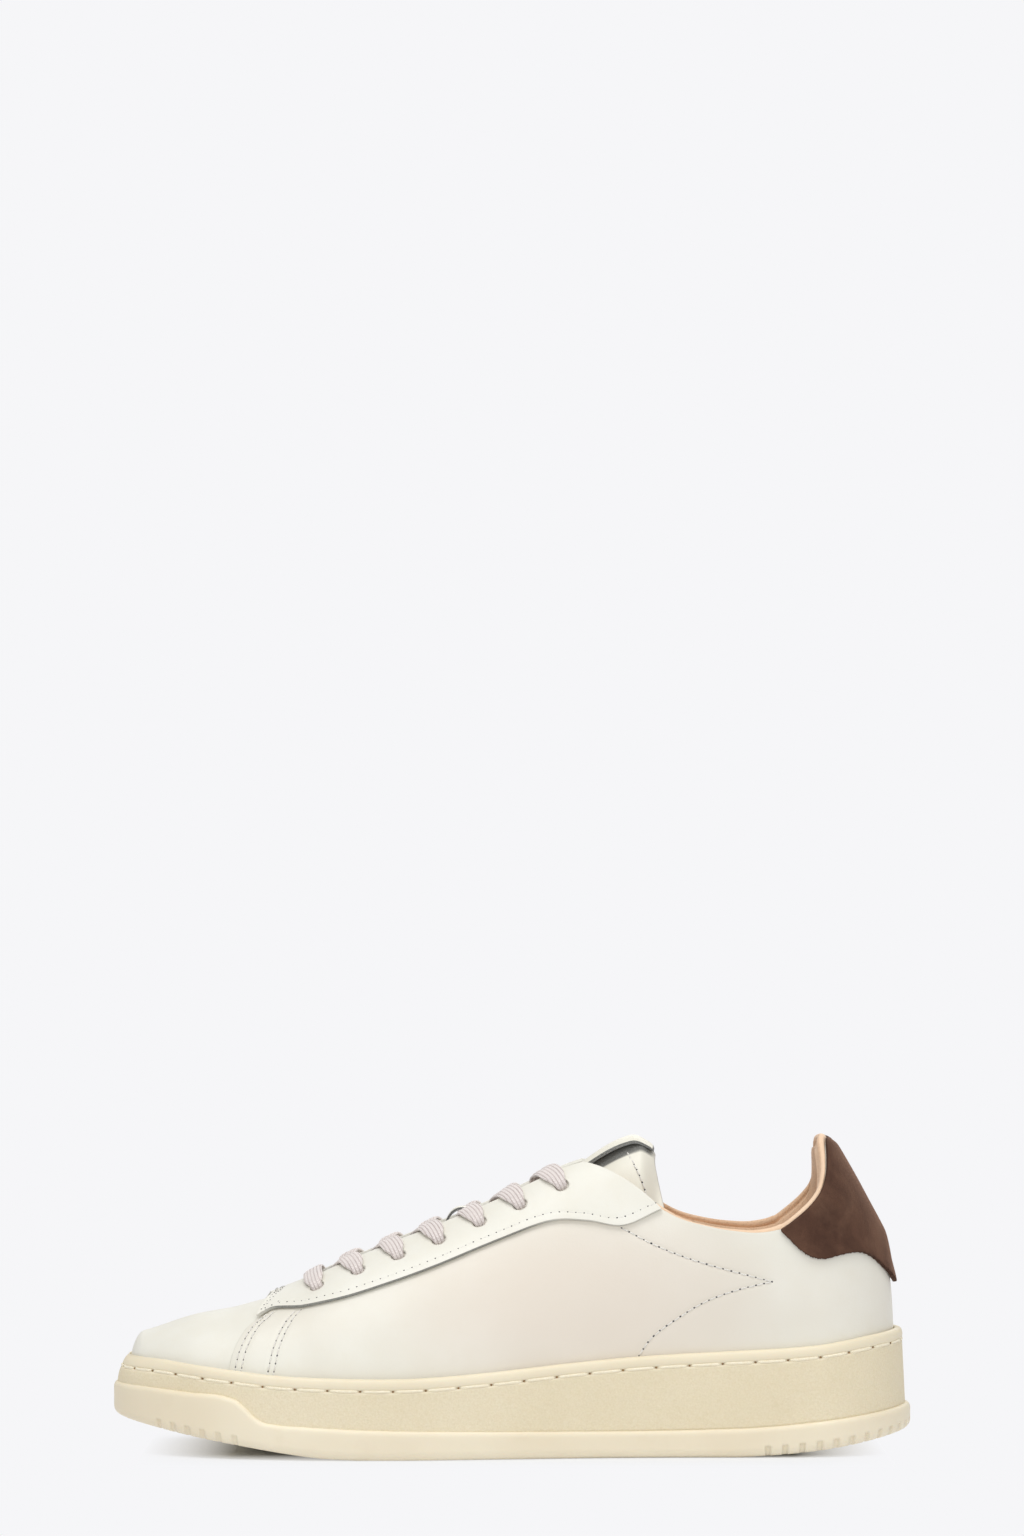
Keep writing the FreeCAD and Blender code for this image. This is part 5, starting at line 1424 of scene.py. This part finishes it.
def build_laces():
    first = True
    for i in range(6):
        for side in (-1, 1):
            word = "lateral" if side > 0 else "medial"
            parts = crossing(i, side)
            if i != KEPT_PASS:
                obj = lace_piece(f"lace_{i + 1}_to_{word}", *parts)
            else:
                # the pass under the keeper is cut at its middle into two pieces, which ride on no body
                path = parts[0]
                middle = int(np.argmin(np.abs(path[:100, 1])))
                for half, cut in (("start", slice(0, middle + 1)), ("end", slice(middle, None))):
                    obj = lace_piece(f"lace_{i + 1}_to_{word}_{half}", *[v[cut] for v in parts], body=None)
                    y = side if half == "start" else -side
                    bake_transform(obj)
            if first:
                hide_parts("lace")
                first = False
    # the front bar goes straight across and into the first pair of eyelets
    x = EYELET_XS[0]
    a, _ = eyelet(x, -1)
    y = np.linspace(a[1] + 1.0, -a[1] - 1.0, 80)
    xs = x - 1.6 * np.cos(y / abs(a[1]) * math.pi / 2) ** 0.7
    t = np.abs(y / a[1])
    path, n = laid(over_throat(xs, y), ABOVE + 0.25 - 0.35 * smooth(0.6, 1.0, t))
    run = run_along(path)
    path, ups = dive(path, n)
    more = len(path) - len(run)
    path, ups = dive(path[::-1], ups[::-1])
    shape = [np.concatenate([np.full(more, v[0]), v, np.full(more, v[-1])])
             for v in plump(np.minimum(run, run[-1] - run), 7.7)]
    lace_piece("lace_front_bar", path, ups, *shape)
    for side, word in ((-1, "lateral"), (1, "medial")):
        line = seen(side, [(18.0, 98.0), (25.0, 88.0), (31.0, 76.0), (34.5, 66.0), (36.0, 60.0)], 50)
        n = normal(line)
        wide = np.linspace(5.4, 3.2, 50)
        lace_piece(f"lace_end_{word}", line + n * UNDER, n, wide, np.linspace(1.5, 1.9, 50),
                   np.full(50, 0.04))


build_laces()

# ================================================================ CAD nodes that stay in view
CARRIED = {
    "midsole_core": foam("core_foam", (240, 237, 226), (224, 219, 204)),
    "lasting_board": plain_weave("pressed_board", (208, 192, 160), (188, 168, 132), 500),
    "lateral_reinforcement": plain_weave("tape_weave", (226, 224, 214), (206, 202, 190), 900),
    "toe_puff": foam("stiff_sheet", (196, 188, 172), (178, 170, 152)),
    "vamp_lining": M_FELT,
    "aglets": foam("lace_tip_film", (236, 230, 226), (220, 212, 208)),
}
CARRIED["heel_counter"] = CARRIED["toe_puff"]
for NODE in ("medial_reinforcement", "lateral_eyelet_tape", "medial_eyelet_tape"):
    CARRIED[NODE] = CARRIED["lateral_reinforcement"]
for NODE, MAT in CARRIED.items():
    OBJ = NODES[NODE]
    OBJ.data.materials.clear()
    OBJ.data.materials.append(MAT)
    OBJ.data.polygons.foreach_set("use_smooth", np.ones(len(OBJ.data.polygons), bool))

# ================================================================ studio
PAPER = srgb(246, 246, 248)


def build_floor():
    bpy.ops.mesh.primitive_plane_add(size=60)
    floor = bpy.context.object
    floor.name = "floor"
    m = Nodes("pale_floor")
    tree = m.tree
    x, y, _ = m.parts(m.where)
    # the floor takes shadow only close under the shoe and is even paper beyond
    fx = m.math("SUBTRACT", 1.0, m.spread(m.math("ABSOLUTE", x), 0.104, 0.139))
    fy = m.math("SUBTRACT", 1.0, m.spread(m.math("ABSOLUTE", y), 0.030, 0.075))
    share = m.times(fx, fy)
    glow = m.add("ShaderNodeEmission")
    glow.inputs["Color"].default_value = PAPER
    paint = m.add("ShaderNodeBsdfDiffuse")
    paint.inputs["Color"].default_value = (0.79, 0.81, 0.84, 1)
    mixed = m.add("ShaderNodeMixShader")
    m.put(share, mixed.inputs[0])
    m.put(glow.outputs[0], mixed.inputs[1])
    m.put(paint.outputs[0], mixed.inputs[2])
    tree.links.new(mixed.outputs[0], tree.nodes["Material Output"].inputs["Surface"])
    floor.data.materials.append(m.mat)


def build_world():
    world = bpy.data.worlds.new("studio")
    bpy.context.scene.world = world
    world.use_nodes = True
    tree = world.node_tree
    back = tree.nodes["Background"]
    back.inputs["Color"].default_value = PAPER
    fill = tree.nodes.new("ShaderNodeBackground")
    fill.inputs["Color"].default_value = (1.0, 0.99, 0.98, 1)
    fill.inputs["Strength"].default_value = 0.55
    path = tree.nodes.new("ShaderNodeLightPath")
    mixed = tree.nodes.new("ShaderNodeMixShader")
    tree.links.new(path.outputs["Is Camera Ray"], mixed.inputs[0])
    tree.links.new(fill.outputs[0], mixed.inputs[1])
    tree.links.new(back.outputs[0], mixed.inputs[2])
    tree.links.new(mixed.outputs[0], tree.nodes["World Output"].inputs["Surface"])


def area(name, place, target, size, power, colour=(1, 1, 1)):
    data = bpy.data.lights.new(name, "AREA")
    data.shape, data.size, data.size_y = "RECTANGLE", size[0], size[1]
    data.energy, data.color = power, colour
    obj = bpy.data.objects.new(name, data)
    obj.location = place
    obj.rotation_euler = (Vector(target) - Vector(place)).to_track_quat("-Z", "Y").to_euler()
    obj.visible_camera = False
    bpy.context.scene.collection.objects.link(obj)


def build_camera():
    data = bpy.data.cameras.new("camera")
    data.lens, data.sensor_width = 120, 36
    cam = bpy.data.objects.new("camera", data)
    distance, rise, centre_z, aim_slope = 1.9453, math.radians(4.0), 0.06, 0.132559
    y, z = -distance * math.cos(rise), centre_z + distance * math.sin(rise)
    # the shoe stands low in the frame, so the camera looks a little above it
    pitch = math.atan(aim_slope) - math.atan(z / -y)
    cam.location = (-0.0006, y, z)
    cam.rotation_euler = (math.pi / 2 + pitch, 0, 0)
    data.clip_start, data.clip_end = 0.05, 200
    bpy.context.scene.collection.objects.link(cam)
    bpy.context.scene.camera = cam


build_floor()
build_world()
area("key_overhead", (-0.10, -0.35, 1.25), (0, 0, 0.05), (1.0, 0.7), 8.1)
area("front_fill", (0.2, -1.6, 0.75), (0, 0, 0.06), (1.4, 0.8), 6.4, (1, 0.99, 0.98))
area("back_rim", (0.3, 1.1, 0.8), (0, 0, 0.07), (1.2, 0.6), 4.4)
build_camera()
bpy.context.scene.view_settings.view_transform = "Standard"
